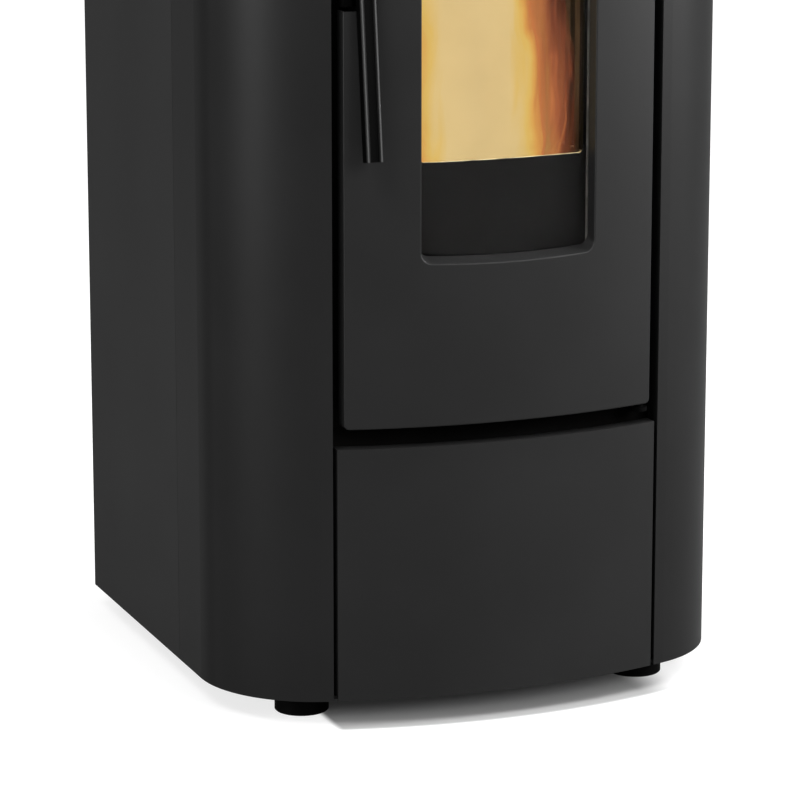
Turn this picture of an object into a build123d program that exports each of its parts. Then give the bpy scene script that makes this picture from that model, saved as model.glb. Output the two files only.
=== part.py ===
from build123d import *
import os
from math import atan2, cos, pi, radians, sin, sqrt

# Pellet stove, millimetres. While it is modelled, Y = 0 is the front of the bow at the middle and
# Y grows to the back, X = 0 is the middle and Z = 0 is the floor. The pieces are moved at the end,
# so that the origin is under the middle of the whole stove.

# --- Casing -------------------------------------------------------------------------------------
CASING_W = 540.0  # over the two side panels
CASING_D = 514.0  # from the front of the bow to the face of the rear panel
BOW_R = 617.0  # plan radius of the bowed front
CORNER_R = 122.5  # plan radius of the rounded front columns
SEAM_Y = 215.0  # where a front column meets its side panel
SEAM_GAP = 0.6  # between the two at that seam
SHEET = 2.0  # painted sheet steel
FOLD = 12.0  # width of a folded edge
FOOT_H = 25.8  # floor to the lower edge of the casing
PANEL_H = 254.5  # lower front panel
BELT_GAP = 19.5  # dark gap under and over the door
DOOR_H = 600.0
GRILLE_H = 131.0  # upper front panel
TOP_H = 30.0  # top cover
FIT = 0.3  # between flat faces that meet or pass
RUN = 0.05  # between a pin and its bore, on the radius
PAST = 9.0  # how far a cut runs beyond what it cuts

Z_CASING = FOOT_H
Z_PANEL = Z_CASING + PANEL_H
Z_DOOR = Z_PANEL + BELT_GAP
Z_DOOR_TOP = Z_DOOR + DOOR_H
Z_GRILLE = Z_DOOR_TOP + BELT_GAP
Z_TOP = Z_GRILLE + GRILLE_H
Z_COVER = Z_TOP + TOP_H

# --- Front: gaps, columns, lower panel -----------------------------------------------------------
DOOR_W = 323.6
DOOR_SIDE_GAP = 10.8  # door to column
PANEL_SIDE_GAP = 4.2  # lower and upper panel to column
COLUMN_RETURN = 24.0  # how far a column's inner edge is folded back
PANEL_RETURN = 18.0  # folded edges of the lower and upper panel
PANEL_LIP_R = 3.0  # rounded upper edge of the lower panel
COLUMN_X = DOOR_W / 2 + DOOR_SIDE_GAP
PANEL_X = COLUMN_X - PANEL_SIDE_GAP

# --- Door ------------------------------------------------------------------------------------------
DOOR_RETURN = 16.0  # depth of the folded edge of the door's outer panel
DOOR_CORNER_R = 5.0
DOOR_EDGE_R = 1.2  # rounding of the panel's front edge
RIM_EDGE_R = 1.4  # rounding of the window's front edge
WINDOW_W = 183.0  # opening in the outer panel
WINDOW_X = 3.2  # the opening stands this far to the right of the door's middle
WINDOW_LOW = 159.0  # from the door's lower edge to the opening
WINDOW_HIGH = 66.0  # from the opening to the door's upper edge
WINDOW_R = 10.0
RIM_DEPTH = 14.0  # how far the window is sunk
RIM_SLOPE = 5.5  # how far the lower rim rises on the way in
RIM_DRAFT = 1.5  # the same at the other three sides
GLASS_T = 4.0
GLASS_LAP = 7.0  # glass behind the opening's edge
GASKET_T = 1.5
GASKET_W = 9.0
FRAME_W = 300.0  # inner door frame
FRAME_MARGIN = 10.0  # from the door's lower and upper edge to the inner frame
FRAME_T = 4.0
FRAME_WALL = 18.0  # width of its edge wall
FRAME_BACK = 48.0  # flat back of the inner frame, behind the front of the bow
SIGHT_LOW = 256.5  # from the door's lower edge to the clear part of the window
SIGHT_SIDE = 6.0  # inner frame showing at each side behind the glass
ROPE_R = 5.0
ROPE_STEP = 4.0  # how deep the rope's groove is
SPACER_L = 24.0  # longer than any gap that a spacer bridges
SPACER_R = 4.0

# --- Door hinge ------------------------------------------------------------------------------------
HINGE_X = 153.0
HINGE_Y = 29.0
HINGE_PIN_R = 3.0
KNUCKLE_R = 6.0
KNUCKLE_H = 30.0
HINGE_ARM_T = 4.0
HINGE_ARM_W = 18.0
HINGE_COLLAR_R = 5.0
HINGE_DROP = 3.8  # between the door and a hinge arm

# --- Handle and latch --------------------------------------------------------------------------------
HANDLE_W = 17.5
HANDLE_T = 11.0
HANDLE_LOW = 200.0  # from the pivot down to the handle's end
HANDLE_INSET = 19.2  # from the door's left edge to the middle of the handle
HANDLE_TILT = 6.8  # degrees that the lower end leans out
HANDLE_EDGE_R = 2.4
HANDLE_GROOVE_W = 8.0  # groove down the bar's front, between two rounded ribs
HANDLE_GROOVE_T = 1.6
HANDLE_GROOVE_R = 1.5
PIVOT_Y = 15.0
PIVOT_Z = 465.0  # above the door's lower edge
PIVOT_PIN_R = 3.0
PIVOT_BOSS_R = 7.5
NOTCH_W = 31.5  # cut into the door's left edge for the handle
NOTCH_LOW = 406.5  # from the door's lower edge to the notch
NOTCH_H = 92.0
EAR_T = 2.0
BRACKET_Y = 25.0  # front of the latch cover in the notch
HOOK_T = 5.0
HOOK_REACH = 40.0  # from the pivot back to the end of the hook
HOOK_H = 9.0
NOSE_T = 6.0
NOSE_H = 4.0
KEEPER_R = 4.0
KEEPER_CLEAR = 0.6  # between the hook's nose and the keeper's roller
KEEPER_PLAY = 1.3  # between the hook and the keeper's cheek, for the swing of the door
KEEPER_T = 2.0

# --- Firebox -----------------------------------------------------------------------------------------
FIREBOX_W = 300.0
FIREBOX_T = 4.0
FIREBOX_Y = 56.0  # front face of the plate that the door closes on
MACHINE_D = 229.0  # from the back of the firebox to the face of the rear panel
FIREBOX_BACK = CASING_D - MACHINE_D
FIREBOX_LOW = 345.0
FIREBOX_DROP = 60.3  # its top below the top cover
FIREBOX_TOP = Z_TOP - FIREBOX_DROP
PLATE_W = 372.0  # front plate, wide enough to close the gaps beside the door
PLATE_UNDER = 45.0  # front plate below the door
PLATE_OVER = 12.0
MOUTH_W = 264.0  # opening that the door closes
MOUTH_LOW = 20.0  # from the firebox floor up to the mouth
MOUTH_HIGH = 26.0  # from the mouth up to the door's upper edge
MOUTH_R = 8.0
LINING_T = 14.0
LINING_GAP = 1.0
LINING_DROP = 132.0  # top of the lining below the firebox's top
LINING_TOP = FIREBOX_TOP - LINING_DROP
RIB_W = 12.0
RIB_T = 5.0
RIBS = 9
BAFFLE_T = 8.0
BAFFLE_FRONT = 42.0  # free throat in front of the baffle
BAFFLE_LIP = 16.0  # lip under the baffle's front edge
HOLDER_Z = 440.0
HOLDER_T = 4.0
POT_R = 58.0
POT_LOW_R = 48.0
POT_T = 5.0
POT_SHIFT = 5.5  # burn pot in front of the middle of the firebox
POT_Y = (FIREBOX_Y + FIREBOX_BACK) / 2 - POT_SHIFT
POT_H = 100.0
POT_DROP = 24.0  # how far the pot hangs through its holder
POT_FLANGE_R = 66.0
POT_FLANGE_T = 5.0
POT_HOLE_R = 3.0
POT_RINGS = 3  # holes in the floor: one in the middle and two rings
POT_RING_STEP = 14.0
POT_HOLES = 6  # in the inner ring
POT_ROW_LOW = 8.0  # rows of holes in the wall, over the flange
POT_ROW_HIGH = 24.0
ASH_W = 236.0
ASH_FRONT_GAP = 24.0  # ash pan behind the firebox's front wall
ASH_BACK_GAP = 9.0  # ash pan in front of its back wall
ASH_H = 58.0
ASH_T = 1.5
TUBE_R = 16.0
TUBE_T = 1.5
TUBE_PITCH = 62.0
TUBES_IN_ROW = 4
TUBE_ROWS = 2
TUBE_ROW_PITCH = 40.0
TUBE_TOP_GAP = 32.0  # from the firebox's top to the middle of the upper row
TUBE_FRONT = 46.0
IGNITER_R = 6.0
IGNITER_SOCKET_R = 9.6
IGNITER_X = 25.0
IGNITER_Z = 466.0
IGNITER_BACK = 40.0  # length of its socket behind the firebox

# --- Fuel feed ---------------------------------------------------------------------------------------
HOPPER_W = 296.0
HOPPER_GAP = 21.0  # behind the firebox
HOPPER_BACK_GAP = 26.0  # in front of the rear panel's face
HOPPER_Y = FIREBOX_BACK + HOPPER_GAP
HOPPER_D = CASING_D - HOPPER_BACK_GAP - HOPPER_Y
HOPPER_T = 1.5
HOPPER_FLANGE = 14.0
FUNNEL_TOP = 800.0
FUNNEL_LOW = 628.0
THROAT_W = 48.0
THROAT_D = 50.0
THROAT_BEHIND = 118.0  # middle of the throat behind the firebox
THROAT_Y = FIREBOX_BACK + THROAT_BEHIND
GRATE_BAR_R = 2.0
GRATE_BARS = 11
GRATE_DEPTH = 60.0  # guard below the rim of the hopper
AUGER_TILT = 50.0  # degrees above level
AUGER_BEHIND = 145.0  # lower end of the auger tube behind the firebox
AUGER_Y = FIREBOX_BACK + AUGER_BEHIND
AUGER_Z = 505.0
AUGER_L = 165.0
AUGER_TUBE_R = 30.0
AUGER_TUBE_T = 2.0
FLIGHT_R = 26.0
FLIGHT_T = 2.0
FLIGHT_PITCH = 46.0
FLIGHT_TURNS = 3.0
SHAFT_R = 7.0
SHAFT_SHIFT = 4.0
GEARBOX = 62.0
GEARBOX_T = 34.0
MOTOR_R = 22.0
MOTOR_L = 44.0
CHUTE_W = 68.0
CHUTE_D = 67.0  # depth of the chute behind the firebox
CHUTE_BACK = FIREBOX_BACK + CHUTE_D
CHUTE_LOW = 560.0
CHUTE_TOP = 668.0
CHUTE_T = 2.0
SPOUT_W = 56.0
SPOUT_H = 44.0
SPOUT_REACH = 46.0  # how far the spout stands into the firebox
SPOUT_BACK = 10.0  # how far it starts behind the firebox's back
SPOUT_TILT = 38.0

# --- Air and smoke -----------------------------------------------------------------------------------
FLUE_R = 40.0
FLUE_T = 1.5
FLUE_STUB = 45.0  # flue outlet behind the rear panel
PIPE_BEAD_T = 3.0  # ring on a pipe where it leaves the rear panel
COLLAR_T = 3.0  # plate that the flue outlet is screwed on with
COLLAR_LAP = 4.0
PIPE_BEAD_W = 4.0
FLUE_INSET = 130.0  # from the right side panel
FLUE_X = CASING_W / 2 - FLUE_INSET
FLUE_Z = 196.0
SCROLL_R = 78.0
SCROLL_W = 58.0
SCROLL_T = 2.0
SCROLL_BEHIND = 103.0  # middle of the exhaust blower behind the firebox
SCROLL_Y = FIREBOX_BACK + SCROLL_BEHIND
SCROLL_Z = 158.0
IMPELLER_R = 58.0
BLADES = 12
BLADE_T = 1.5
HUB_R = 10.0
WHEEL_GAP = 3.0  # between a wheel and its housing
FAN_SHAFT_R = 4.0
FAN_MOTOR_R = 34.0
FAN_MOTOR_L = 52.0
MOTOR_GROOVES = 4  # cooling grooves round a motor
MOTOR_GROOVE_W = 4.0
DUCT_T = 2.0
DUCT_X = 58.0  # left side of the smoke duct
DUCT_BEFORE = 73.0  # front of the smoke duct before the firebox's back
DUCT_Y = FIREBOX_BACK - DUCT_BEFORE
DUCT_D = 60.0
DUCT_LOW = 112.0
DUCT_H = 92.0
INLET_R = 25.0
INLET_T = 1.5
INLET_STUB = 30.0
INLET_X = -72.0
INLET_Z = 140.0
INLET_BEHIND = 45.0  # rising air pipe behind the firebox
INLET_RISE_Y = FIREBOX_BACK + INLET_BEHIND
INLET_PORT_Z = 398.0
INLET_BEND = 36.0
ROOM_FAN_X = 62.0
ROOM_FAN_W = 62.0
ROOM_FAN_R = 62.0
ROOM_FAN_BEHIND = 67.0  # middle of the room fan behind the firebox
ROOM_FAN_Y = FIREBOX_BACK + ROOM_FAN_BEHIND
ROOM_FAN_Z = 304.0
ROOM_IMPELLER_R = 48.0
ROOM_EYE_R = 36.0  # opening at the side of the housing
RISER_T = 1.0
RISER_D = 16.0  # depth of the warm air duct behind the firebox
PLENUM_W = 240.0
PLENUM_H = 92.0

# --- Base, frame and feet ----------------------------------------------------------------------------
BASE_T = 3.0
BASE_RISE = 2.0  # base plate above the lower edge of the casing
FOOT_R = 27.2
FOOT_EDGE_R = 3.0
HEX_SIDES = 6
FOOT_PAD_H = 19.0
FOOT_INSET = 88.0  # from the side panels
FOOT_X = CASING_W / 2 - FOOT_INSET
FOOT_FRONT_Y = 93.0
FOOT_BACK_INSET = 64.0  # from the rear panel's face
FOOT_BACK_Y = CASING_D - FOOT_BACK_INSET
STUD_R = 5.0
STUD_BOSS_R = 10.0
STUD_BOSS_H = 10.0
HEX_W = 17.0
HEX_H = 4.0
POST_W = 28.0
POST_T = 3.0
UPRIGHT_INSET = 70.0  # from the side panels
UPRIGHT_X = CASING_W / 2 - UPRIGHT_INSET
UPRIGHT_BACK_INSET = 32.0  # from the rear panel's face
UPRIGHT_Y = CASING_D - UPRIGHT_BACK_INSET
UPRIGHT_TOP = 1044.0

# --- Top ---------------------------------------------------------------------------------------------
TOP_T = 3.0
TOP_EDGE_R = 6.0
LID_RIM = 2.0  # lid beyond the hopper, in front and behind
LID_W = 312.0
LID_D = HOPPER_D + 2 * LID_RIM
LID_T = 4.0
LID_CORNER_R = 10.0
LID_EDGE_R = 1.5
LID_Y = HOPPER_Y - LID_RIM  # front edge of the lid
LID_LAP = 12.0  # lid beyond the mouth of the hopper
LID_SEAL_T = 3.0
LID_SEAL_W = 8.0
LID_PIN_R = 3.0
LID_BARREL_R = 6.0
LID_BARREL_L = 40.0
LID_BARREL_X = 110.0
PULL_W = 90.0
PULL_D = 12.0
PULL_H = 10.0
PULL_EDGE_R = 3.0
BEZEL_W = 164.0
BEZEL_D = 72.0
BEZEL_H = 9.0
BEZEL_Y = 118.0  # middle of the control panel
BEZEL_SINK = 8.0
BEZEL_CORNER_R = 12.0
BEZEL_EDGE_R = 2.5
SCREEN_W = 66.0
SCREEN_D = 34.0
SCREEN_T = 2.0
KEY_R = 8.0
KEY_PROUD = 1.6
KEY_TRAVEL = 1.2
KEY_PITCH_X = 24.0
KEY_PITCH_Y = 26.0
KEY_X = 46.0
KEY_SHIFT = 3.0  # of the up and down keys to the right
SLOT_H = 8.0
SLOT_W = 96.0
SLOT_ROWS = 5
SLOT_PITCH = 18.0

# --- Controls and back -------------------------------------------------------------------------------
BOX_W = 44.0
BOX_D = 180.0
BOX_H = 210.0
BOX_EDGE_R = 3.0
BOX_SLOTS = 6
BOX_SLOT_W = 8.0
BOX_SLOT_T = 2.0
BOX_INSET = 264.0  # front of the control box before the rear panel's face
BOX_Y = CASING_D - BOX_INSET
BOX_Z = 70.0
SOCKET_W = 48.0
SOCKET_H = 30.0
SOCKET_INSET = 105.0  # from the left side panel
SOCKET_X = SOCKET_INSET - CASING_W / 2
SOCKET_Z = 96.0
SWITCH_W = 22.0
SWITCH_H = 30.0
SWITCH_Z = 140.0
ROCKER_R = 17.0  # hollow of the rocker's face
ROCKER_TILT = 8.0  # degrees to each side of the middle
ROCKER_SINK = 7.0  # its pin behind the rear panel's face
ROCKER_PIN_R = 2.0
SWITCH_WALL = 3.0
SWITCH_DEPTH = 22.0
FLANGE_T = 2.0  # of the inlet and the switch, on the rear panel
CONTACT_PITCH = 7.0
SOCKET_DEPTH = 18.0
RESET_PITCH = 45.0  # reset button beside the mains inlet
RESET_X = SOCKET_X + RESET_PITCH
RESET_DEPTH = 24.0
RESET_COLLAR = 6.0  # collar and button behind the rear panel
RESET_BUTTON = 8.0
RESET_BORE = 12.0
RESET_EDGE_R = 1.0
RESET_R = 11.0
RESET_KEY_R = 6.0
VENT_W = 60.0
VENT_H = 6.0
VENT_PITCH = 14.0
VENT_ROWS = 9
VENT_DROP = 200.0  # upper vents below the top cover
SCREW_R = 2.0
SCREW_HEAD_R = 4.5
SCREW_ROWS = 4
SCREW_SLOT = 1.0  # cross slot in the head
SCREW_HEAD_T = 2.2
LOOM_R = 4.0
LOOM_BEND = 24.0
LOOM_EXIT = 30.0  # from the back of the control box to the first loom
LOOM_CROSS = 70.0  # how far the second loom keeps off the box
LOOM_TOP_X = 60.0  # where the first loom meets the control panel


def block(x0, x1, y0, y1, z0, z1):
    """A box between two corners."""
    middle = Pos((x0 + x1) / 2, (y0 + y1) / 2, (z0 + z1) / 2)
    return middle * Box(abs(x1 - x0), abs(y1 - y0), abs(z1 - z0))


def rod_x(x0, x1, y, z, r):
    return Pos((x0 + x1) / 2, y, z) * Rot(0, 90, 0) * Cylinder(r, abs(x1 - x0))


def rod_y(x, y0, y1, z, r):
    return Pos(x, (y0 + y1) / 2, z) * Rot(90, 0, 0) * Cylinder(r, abs(y1 - y0))


def rod_z(x, y, z0, z1, r):
    return Pos(x, y, (z0 + z1) / 2) * Cylinder(r, abs(z1 - z0))


def group(pieces):
    """Several like pieces kept together as separate solids."""
    return Compound([solid for piece in pieces for solid in piece.solids()])


def bow_y(x, inset=0.0):
    """Y of the bowed front at x, inset behind its surface."""
    return BOW_R - sqrt((BOW_R - inset) ** 2 - x**2)


def bow_slab(near, far, z0, z1):
    """A bowed slab between two depths behind the front's surface."""
    outer = rod_z(0, BOW_R, z0, z1, BOW_R - near)
    inner = rod_z(0, BOW_R, z0 - 1, z1 + 1, BOW_R - far)
    front = block(-CASING_W / 2, CASING_W / 2, near - CASING_D / 4, CASING_D / 4, z0, z1)
    return (outer & front) - inner


def plan(inset=0.0, back_inset=0.0):
    """Plan outline of the casing, drawn in by inset."""
    side = CASING_W / 2 - inset
    back = CASING_D - back_inset
    cx = CASING_W / 2 - CORNER_R
    cy = BOW_R - sqrt((BOW_R - CORNER_R) ** 2 - cx**2)
    turn = atan2(cx, BOW_R - cy)
    bow = BOW_R - inset
    corner = CORNER_R - inset
    half = (pi / 2 - turn) / 2
    join = (bow * sin(turn), BOW_R - bow * cos(turn))
    middle = (cx + corner * cos(half), cy - corner * sin(half))
    edges = [
        Line((-side, back), (-side, cy)),
        ThreePointArc((-side, cy), (-middle[0], middle[1]), (-join[0], join[1])),
        ThreePointArc((-join[0], join[1]), (0, inset), join),
        ThreePointArc(join, middle, (side, cy)),
        Line((side, cy), (side, back)),
        Line((side, back), (-side, back)),
    ]
    return make_face(Curve() + edges)


def plan_solid(z0, z1, inset=0.0, back_inset=0.0):
    return Pos(0, 0, z0) * extrude(plan(inset, back_inset), z1 - z0, dir=(0, 0, 1))


def front_shape(x0, x1, z0, z1, r, y0=-CASING_D, y1=CASING_D):
    """A rounded rectangle in front view, run through from y0 to y1."""
    face = Pos((x0 + x1) / 2, y0, (z0 + z1) / 2) * Rot(90, 0, 0) * RectangleRounded(x1 - x0, z1 - z0, r)
    return extrude(face, y1 - y0, dir=(0, 1, 0))


# --- Casing pieces -----------------------------------------------------------------------------------
def front_column(side):
    """Rounded column, left (side -1) or right (side 1), with its folded edges."""
    shell = plan_solid(Z_CASING, Z_TOP) - plan_solid(Z_CASING - 1, Z_TOP + 1, SHEET, -1)
    edge = SEAM_Y - SEAM_GAP / 2
    keep = block(side * COLUMN_X, side * CASING_W, -CASING_D, edge, Z_CASING, Z_TOP)
    column = shell & keep
    inner_y = bow_y(COLUMN_X)
    fold = block(side * COLUMN_X, side * (COLUMN_X + SHEET), inner_y, inner_y + COLUMN_RETURN,
                 Z_CASING, Z_TOP)
    seam = block(side * (CASING_W / 2 - SHEET - FOLD), side * (CASING_W / 2 - SHEET / 2),
                 edge - SHEET, edge, Z_CASING, Z_TOP)
    return column + (fold - bow_slab(-SHEET, 0, Z_CASING, Z_TOP)) + seam


def side_panel(side):
    """Flat side panel with its two folded edges."""
    out = side * CASING_W / 2
    skin = side * (CASING_W / 2 - SHEET)
    fold = side * (CASING_W / 2 - SHEET - FOLD)
    front = SEAM_Y + SEAM_GAP / 2
    back = CASING_D - SHEET
    panel = block(out, skin, front, CASING_D, Z_CASING, Z_TOP)
    panel += block(fold, out, front, front + SHEET, Z_CASING, Z_TOP)
    panel += block(fold, out, back - SHEET, back, Z_CASING, Z_TOP)
    for z in screw_heights():
        panel -= rod_y(side * screw_x(), back - 2 * SHEET, back + 1, z, SCREW_R + RUN)
    return panel


def screw_x():
    return CASING_W / 2 - SHEET - FOLD / 2


def screw_heights():
    low = Z_CASING + 4 * FOLD
    return [low + i * (Z_TOP - 4 * FOLD - low) / (SCREW_ROWS - 1) for i in range(SCREW_ROWS)]


def casing_screws():
    screws = []
    for side in (-1, 1):
        for z in screw_heights():
            x = side * screw_x()
            shank = rod_y(x, CASING_D - 4 * SHEET, CASING_D, z, SCREW_R)
            head = rod_y(x, CASING_D, CASING_D + SCREW_HEAD_T, z, SCREW_HEAD_R)
            w = SCREW_SLOT / 2
            cross = block(x - SCREW_R, x + SCREW_R, CASING_D + 1, CASING_D + PAST, z - w, z + w)
            cross += block(x - w, x + w, CASING_D + 1, CASING_D + PAST, z - SCREW_R, z + SCREW_R)
            screws.append(shank + head - cross)
    return group(screws)


def vent(x, z, rows):
    """A stack of level vent slots through the rear panel."""
    slots = []
    for i in range(rows):
        zi = z + i * VENT_PITCH
        slots.append(front_shape(x - VENT_W / 2, x + VENT_W / 2, zi - VENT_H / 2, zi + VENT_H / 2,
                                 VENT_H / 2 - RUN, CASING_D - PAST, CASING_D + PAST))
    return slots


def rear_panel():
    half = CASING_W / 2 - SHEET - FIT
    panel = block(-half, half, CASING_D - SHEET, CASING_D, Z_CASING, Z_TOP)
    panel -= rod_y(FLUE_X, CASING_D - PAST, CASING_D + PAST, FLUE_Z, FLUE_R + FIT)
    panel -= rod_y(INLET_X, CASING_D - PAST, CASING_D + PAST, INLET_Z, INLET_R + FIT)
    cuts = vent(ROOM_FAN_X, ROOM_FAN_Z, VENT_ROWS) + vent(-UPRIGHT_X / 2, Z_TOP - VENT_DROP, VENT_ROWS)
    cuts += vent(UPRIGHT_X / 2, Z_TOP - VENT_DROP, VENT_ROWS)
    for slot in cuts:
        panel -= slot
    panel -= block(SOCKET_X - SOCKET_W / 2, SOCKET_X + SOCKET_W / 2, CASING_D - PAST, CASING_D + PAST,
                   SOCKET_Z - SOCKET_H / 2, SOCKET_Z + SOCKET_H / 2)
    panel -= block(SOCKET_X - SWITCH_W / 2, SOCKET_X + SWITCH_W / 2, CASING_D - PAST, CASING_D + PAST,
                   SWITCH_Z - SWITCH_H / 2, SWITCH_Z + SWITCH_H / 2)
    panel -= rod_y(RESET_X, CASING_D - PAST, CASING_D + PAST, SOCKET_Z, RESET_R)
    for side in (-1, 1):
        for z in screw_heights():
            panel -= rod_y(side * screw_x(), CASING_D - PAST, CASING_D + PAST, z, SCREW_R + RUN)
    return panel


def bowed_tray(x, z0, z1, depth, lip=0.0):
    """A bowed sheet with its edges folded back, and its upper front edge rounded by lip."""
    outside = bow_slab(0, depth, z0, z1) & block(-x, x, -CASING_D, CASING_D, z0, z1)
    if lip:
        upper = outside.edges().filter_by(GeomType.CIRCLE).group_by(Axis.Z)[-1]
        outside = fillet(upper.sort_by(SortBy.LENGTH)[-1], lip)
    hollow = bow_slab(SHEET, depth + 1, z0 + SHEET, z1 - SHEET)
    return outside - (hollow & block(SHEET - x, x - SHEET, -CASING_D, CASING_D, z0, z1))


def lower_front_panel():
    """Bowed panel under the door, cut away where it stands in front of the base plate."""
    tray = bowed_tray(PANEL_X, Z_CASING, Z_PANEL, PANEL_RETURN, PANEL_LIP_R)
    return tray - bow_slab(SHEET, PANEL_RETURN + PAST, Z_CASING, Z_CASING + BASE_RISE + BASE_T + FIT)


def upper_front_panel():
    """Bowed panel over the door, with the slots that warm air leaves through."""
    tray = bowed_tray(PANEL_X, Z_GRILLE, Z_TOP, PANEL_RETURN)
    for row in range(SLOT_ROWS):
        z = Z_GRILLE + GRILLE_H / 2 + (row - (SLOT_ROWS - 1) / 2) * SLOT_PITCH
        for x in (-SLOT_W - SLOT_H, 0, SLOT_W + SLOT_H):
            tray -= front_shape(x - SLOT_W / 2, x + SLOT_W / 2, z - SLOT_H / 2, z + SLOT_H / 2,
                                SLOT_H / 2 - RUN, -CASING_D / 8, CASING_D / 8)
    return tray


def foot_places():
    return [(side * FOOT_X, y) for side in (-1, 1) for y in (FOOT_FRONT_Y, FOOT_BACK_Y)]


def base_plate():
    """Floor of the stove, with a threaded boss for each foot."""
    low = Z_CASING + BASE_RISE
    plate = plan_solid(low, low + BASE_T, SHEET + FIT, 2 * SHEET + 2 * FIT)
    corner = block(COLUMN_X - 2 * FIT, COLUMN_X + SHEET + FIT, 0, bow_y(COLUMN_X) + COLUMN_RETURN + FIT,
                   low - 1, low + PAST)
    fold = block(CASING_W / 2 - SHEET - FOLD - FIT, CASING_W, SEAM_Y - SHEET - SEAM_GAP,
                 SEAM_Y + SHEET + SEAM_GAP, low - 1, low + PAST)
    for cut in (corner, fold):
        plate -= cut
        plate -= mirror(cut, Plane.YZ)
    for x, y in foot_places():
        plate += rod_z(x, y, low + BASE_T / 2, low + BASE_T + STUD_BOSS_H, STUD_BOSS_R)
        plate -= rod_z(x, y, low - 1, low + BASE_T + STUD_BOSS_H + 1, STUD_R + RUN)
    return plate


def foot(x, y):
    """Round foot with a hexagon and a stud that is screwed into the base plate."""
    pad = rod_z(x, y, 0, FOOT_PAD_H, FOOT_R)
    pad = fillet(pad.edges().filter_by(GeomType.CIRCLE).group_by(Axis.Z)[-1], FOOT_EDGE_R)
    pad = chamfer(pad.edges().group_by(Axis.Z)[0], 1.0)
    hexagon = Pos(x, y, FOOT_PAD_H) * extrude(RegularPolygon(HEX_W / 2, HEX_SIDES, major_radius=False), HEX_H)
    stud = rod_z(x, y, FOOT_PAD_H, Z_CASING + BASE_RISE + BASE_T + STUD_BOSS_H - 2, STUD_R)
    return pad + hexagon + stud


def levelling_feet():
    return group([foot(x, y) for x, y in foot_places()])


def chassis_frame():
    """Angle-iron posts under the firebox, rear uprights and the bar across them."""
    low = Z_CASING + BASE_RISE + BASE_T
    posts = []
    for side in (-1, 1):
        x = side * FIREBOX_W / 2
        for y, way in ((FIREBOX_Y + FIREBOX_T, 1), (FIREBOX_BACK, -1)):
            post = block(x, x - side * POST_W, y, y + way * POST_T, low, FIREBOX_LOW)
            post += block(x, x - side * POST_T, y, y + way * POST_W, low, FIREBOX_LOW)
            posts.append(post)
    back = UPRIGHT_Y + POST_W
    frame = block(-UPRIGHT_X - POST_W, UPRIGHT_X + POST_W, HOPPER_Y + HOPPER_D + FIT,
                  HOPPER_Y + HOPPER_D + FIT + POST_T, UPRIGHT_TOP - POST_W, UPRIGHT_TOP)
    for side in (-1, 1):
        x = side * UPRIGHT_X
        frame += block(x, x + side * POST_W, back - POST_T, back, low, UPRIGHT_TOP)
        frame += block(x + side * (POST_W - POST_T), x + side * POST_W, UPRIGHT_Y, back, low, UPRIGHT_TOP)
    posts.append(frame)
    return group(posts)


# --- Door --------------------------------------------------------------------------------------------
def window_cut(grow, y_near, y_far):
    """The sunk window's tapered opening, grown by grow, from y_near to y_far in depth."""
    x0 = WINDOW_X - WINDOW_W / 2
    x1 = WINDOW_X + WINDOW_W / 2
    z0 = Z_DOOR + WINDOW_LOW
    z1 = Z_DOOR_TOP - WINDOW_HIGH
    sections = []
    for y in (y_near, y_far):
        share = y / RIM_DEPTH
        draft = RIM_DRAFT * share
        wide = x1 - x0 - 2 * draft + 2 * grow
        low = z0 + RIM_SLOPE * share - grow
        high = z1 - draft + grow
        face = Pos((x0 + x1) / 2, y, (low + high) / 2) * Rot(90, 0, 0)
        sections.append(face * RectangleRounded(wide, high - low, WINDOW_R + grow))
    return loft(sections)


def on_front(edges):
    """Those edges that lie in the bowed front's surface."""
    return [e for e in edges if all(abs(p.Y - bow_y(p.X)) < RUN for p in (e @ 0, e @ 0.5, e @ 1))]


def door_panel():
    """Outer bowed panel: folded edges, sunk window rim and the notch for the handle."""
    x = DOOR_W / 2
    outline = front_shape(-x, x, Z_DOOR, Z_DOOR_TOP, DOOR_CORNER_R)
    inline = front_shape(SHEET - x, x - SHEET, Z_DOOR + SHEET, Z_DOOR_TOP - SHEET, DOOR_CORNER_R - SHEET)
    tray = bow_slab(0, DOOR_RETURN, Z_DOOR, Z_DOOR_TOP) & outline
    tray = fillet(on_front(tray.edges()), DOOR_EDGE_R)
    tray -= bow_slab(SHEET, DOOR_RETURN + 1, Z_DOOR, Z_DOOR_TOP) & inline
    near, far = -2 * RIM_DEPTH, 4 * RIM_DEPTH
    rim = window_cut(SHEET, near, far) & bow_slab(0, RIM_DEPTH, Z_DOOR, Z_DOOR_TOP)
    panel = tray + rim - window_cut(0, near, far)
    mouth = [e for e in on_front(panel.edges()) if abs((e @ 0.5).X) < WINDOW_W / 2 + WINDOW_X
             and Z_DOOR + WINDOW_LOW - 1 < (e @ 0.5).Z < Z_DOOR_TOP - WINDOW_HIGH + 1]
    panel = fillet(mouth, RIM_EDGE_R)
    notch = block(-x - 1, NOTCH_W - x, -RIM_DEPTH, 4 * RIM_DEPTH, Z_DOOR + NOTCH_LOW,
                  Z_DOOR + NOTCH_LOW + NOTCH_H)
    panel -= notch
    for z in (Z_DOOR, Z_DOOR_TOP):
        panel -= rod_z(HINGE_X, HINGE_Y, z - KNUCKLE_R, z + KNUCKLE_R, HINGE_PIN_R + FIT)
    return panel


def frame_low():
    return Z_DOOR + FRAME_MARGIN


def frame_high():
    return Z_DOOR_TOP - FRAME_MARGIN


def glass_back():
    """Depth of the back of the glass behind the door's surface."""
    return RIM_DEPTH + FIT + GLASS_T


def frame_front():
    return glass_back() + GASKET_T + FIT


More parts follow.
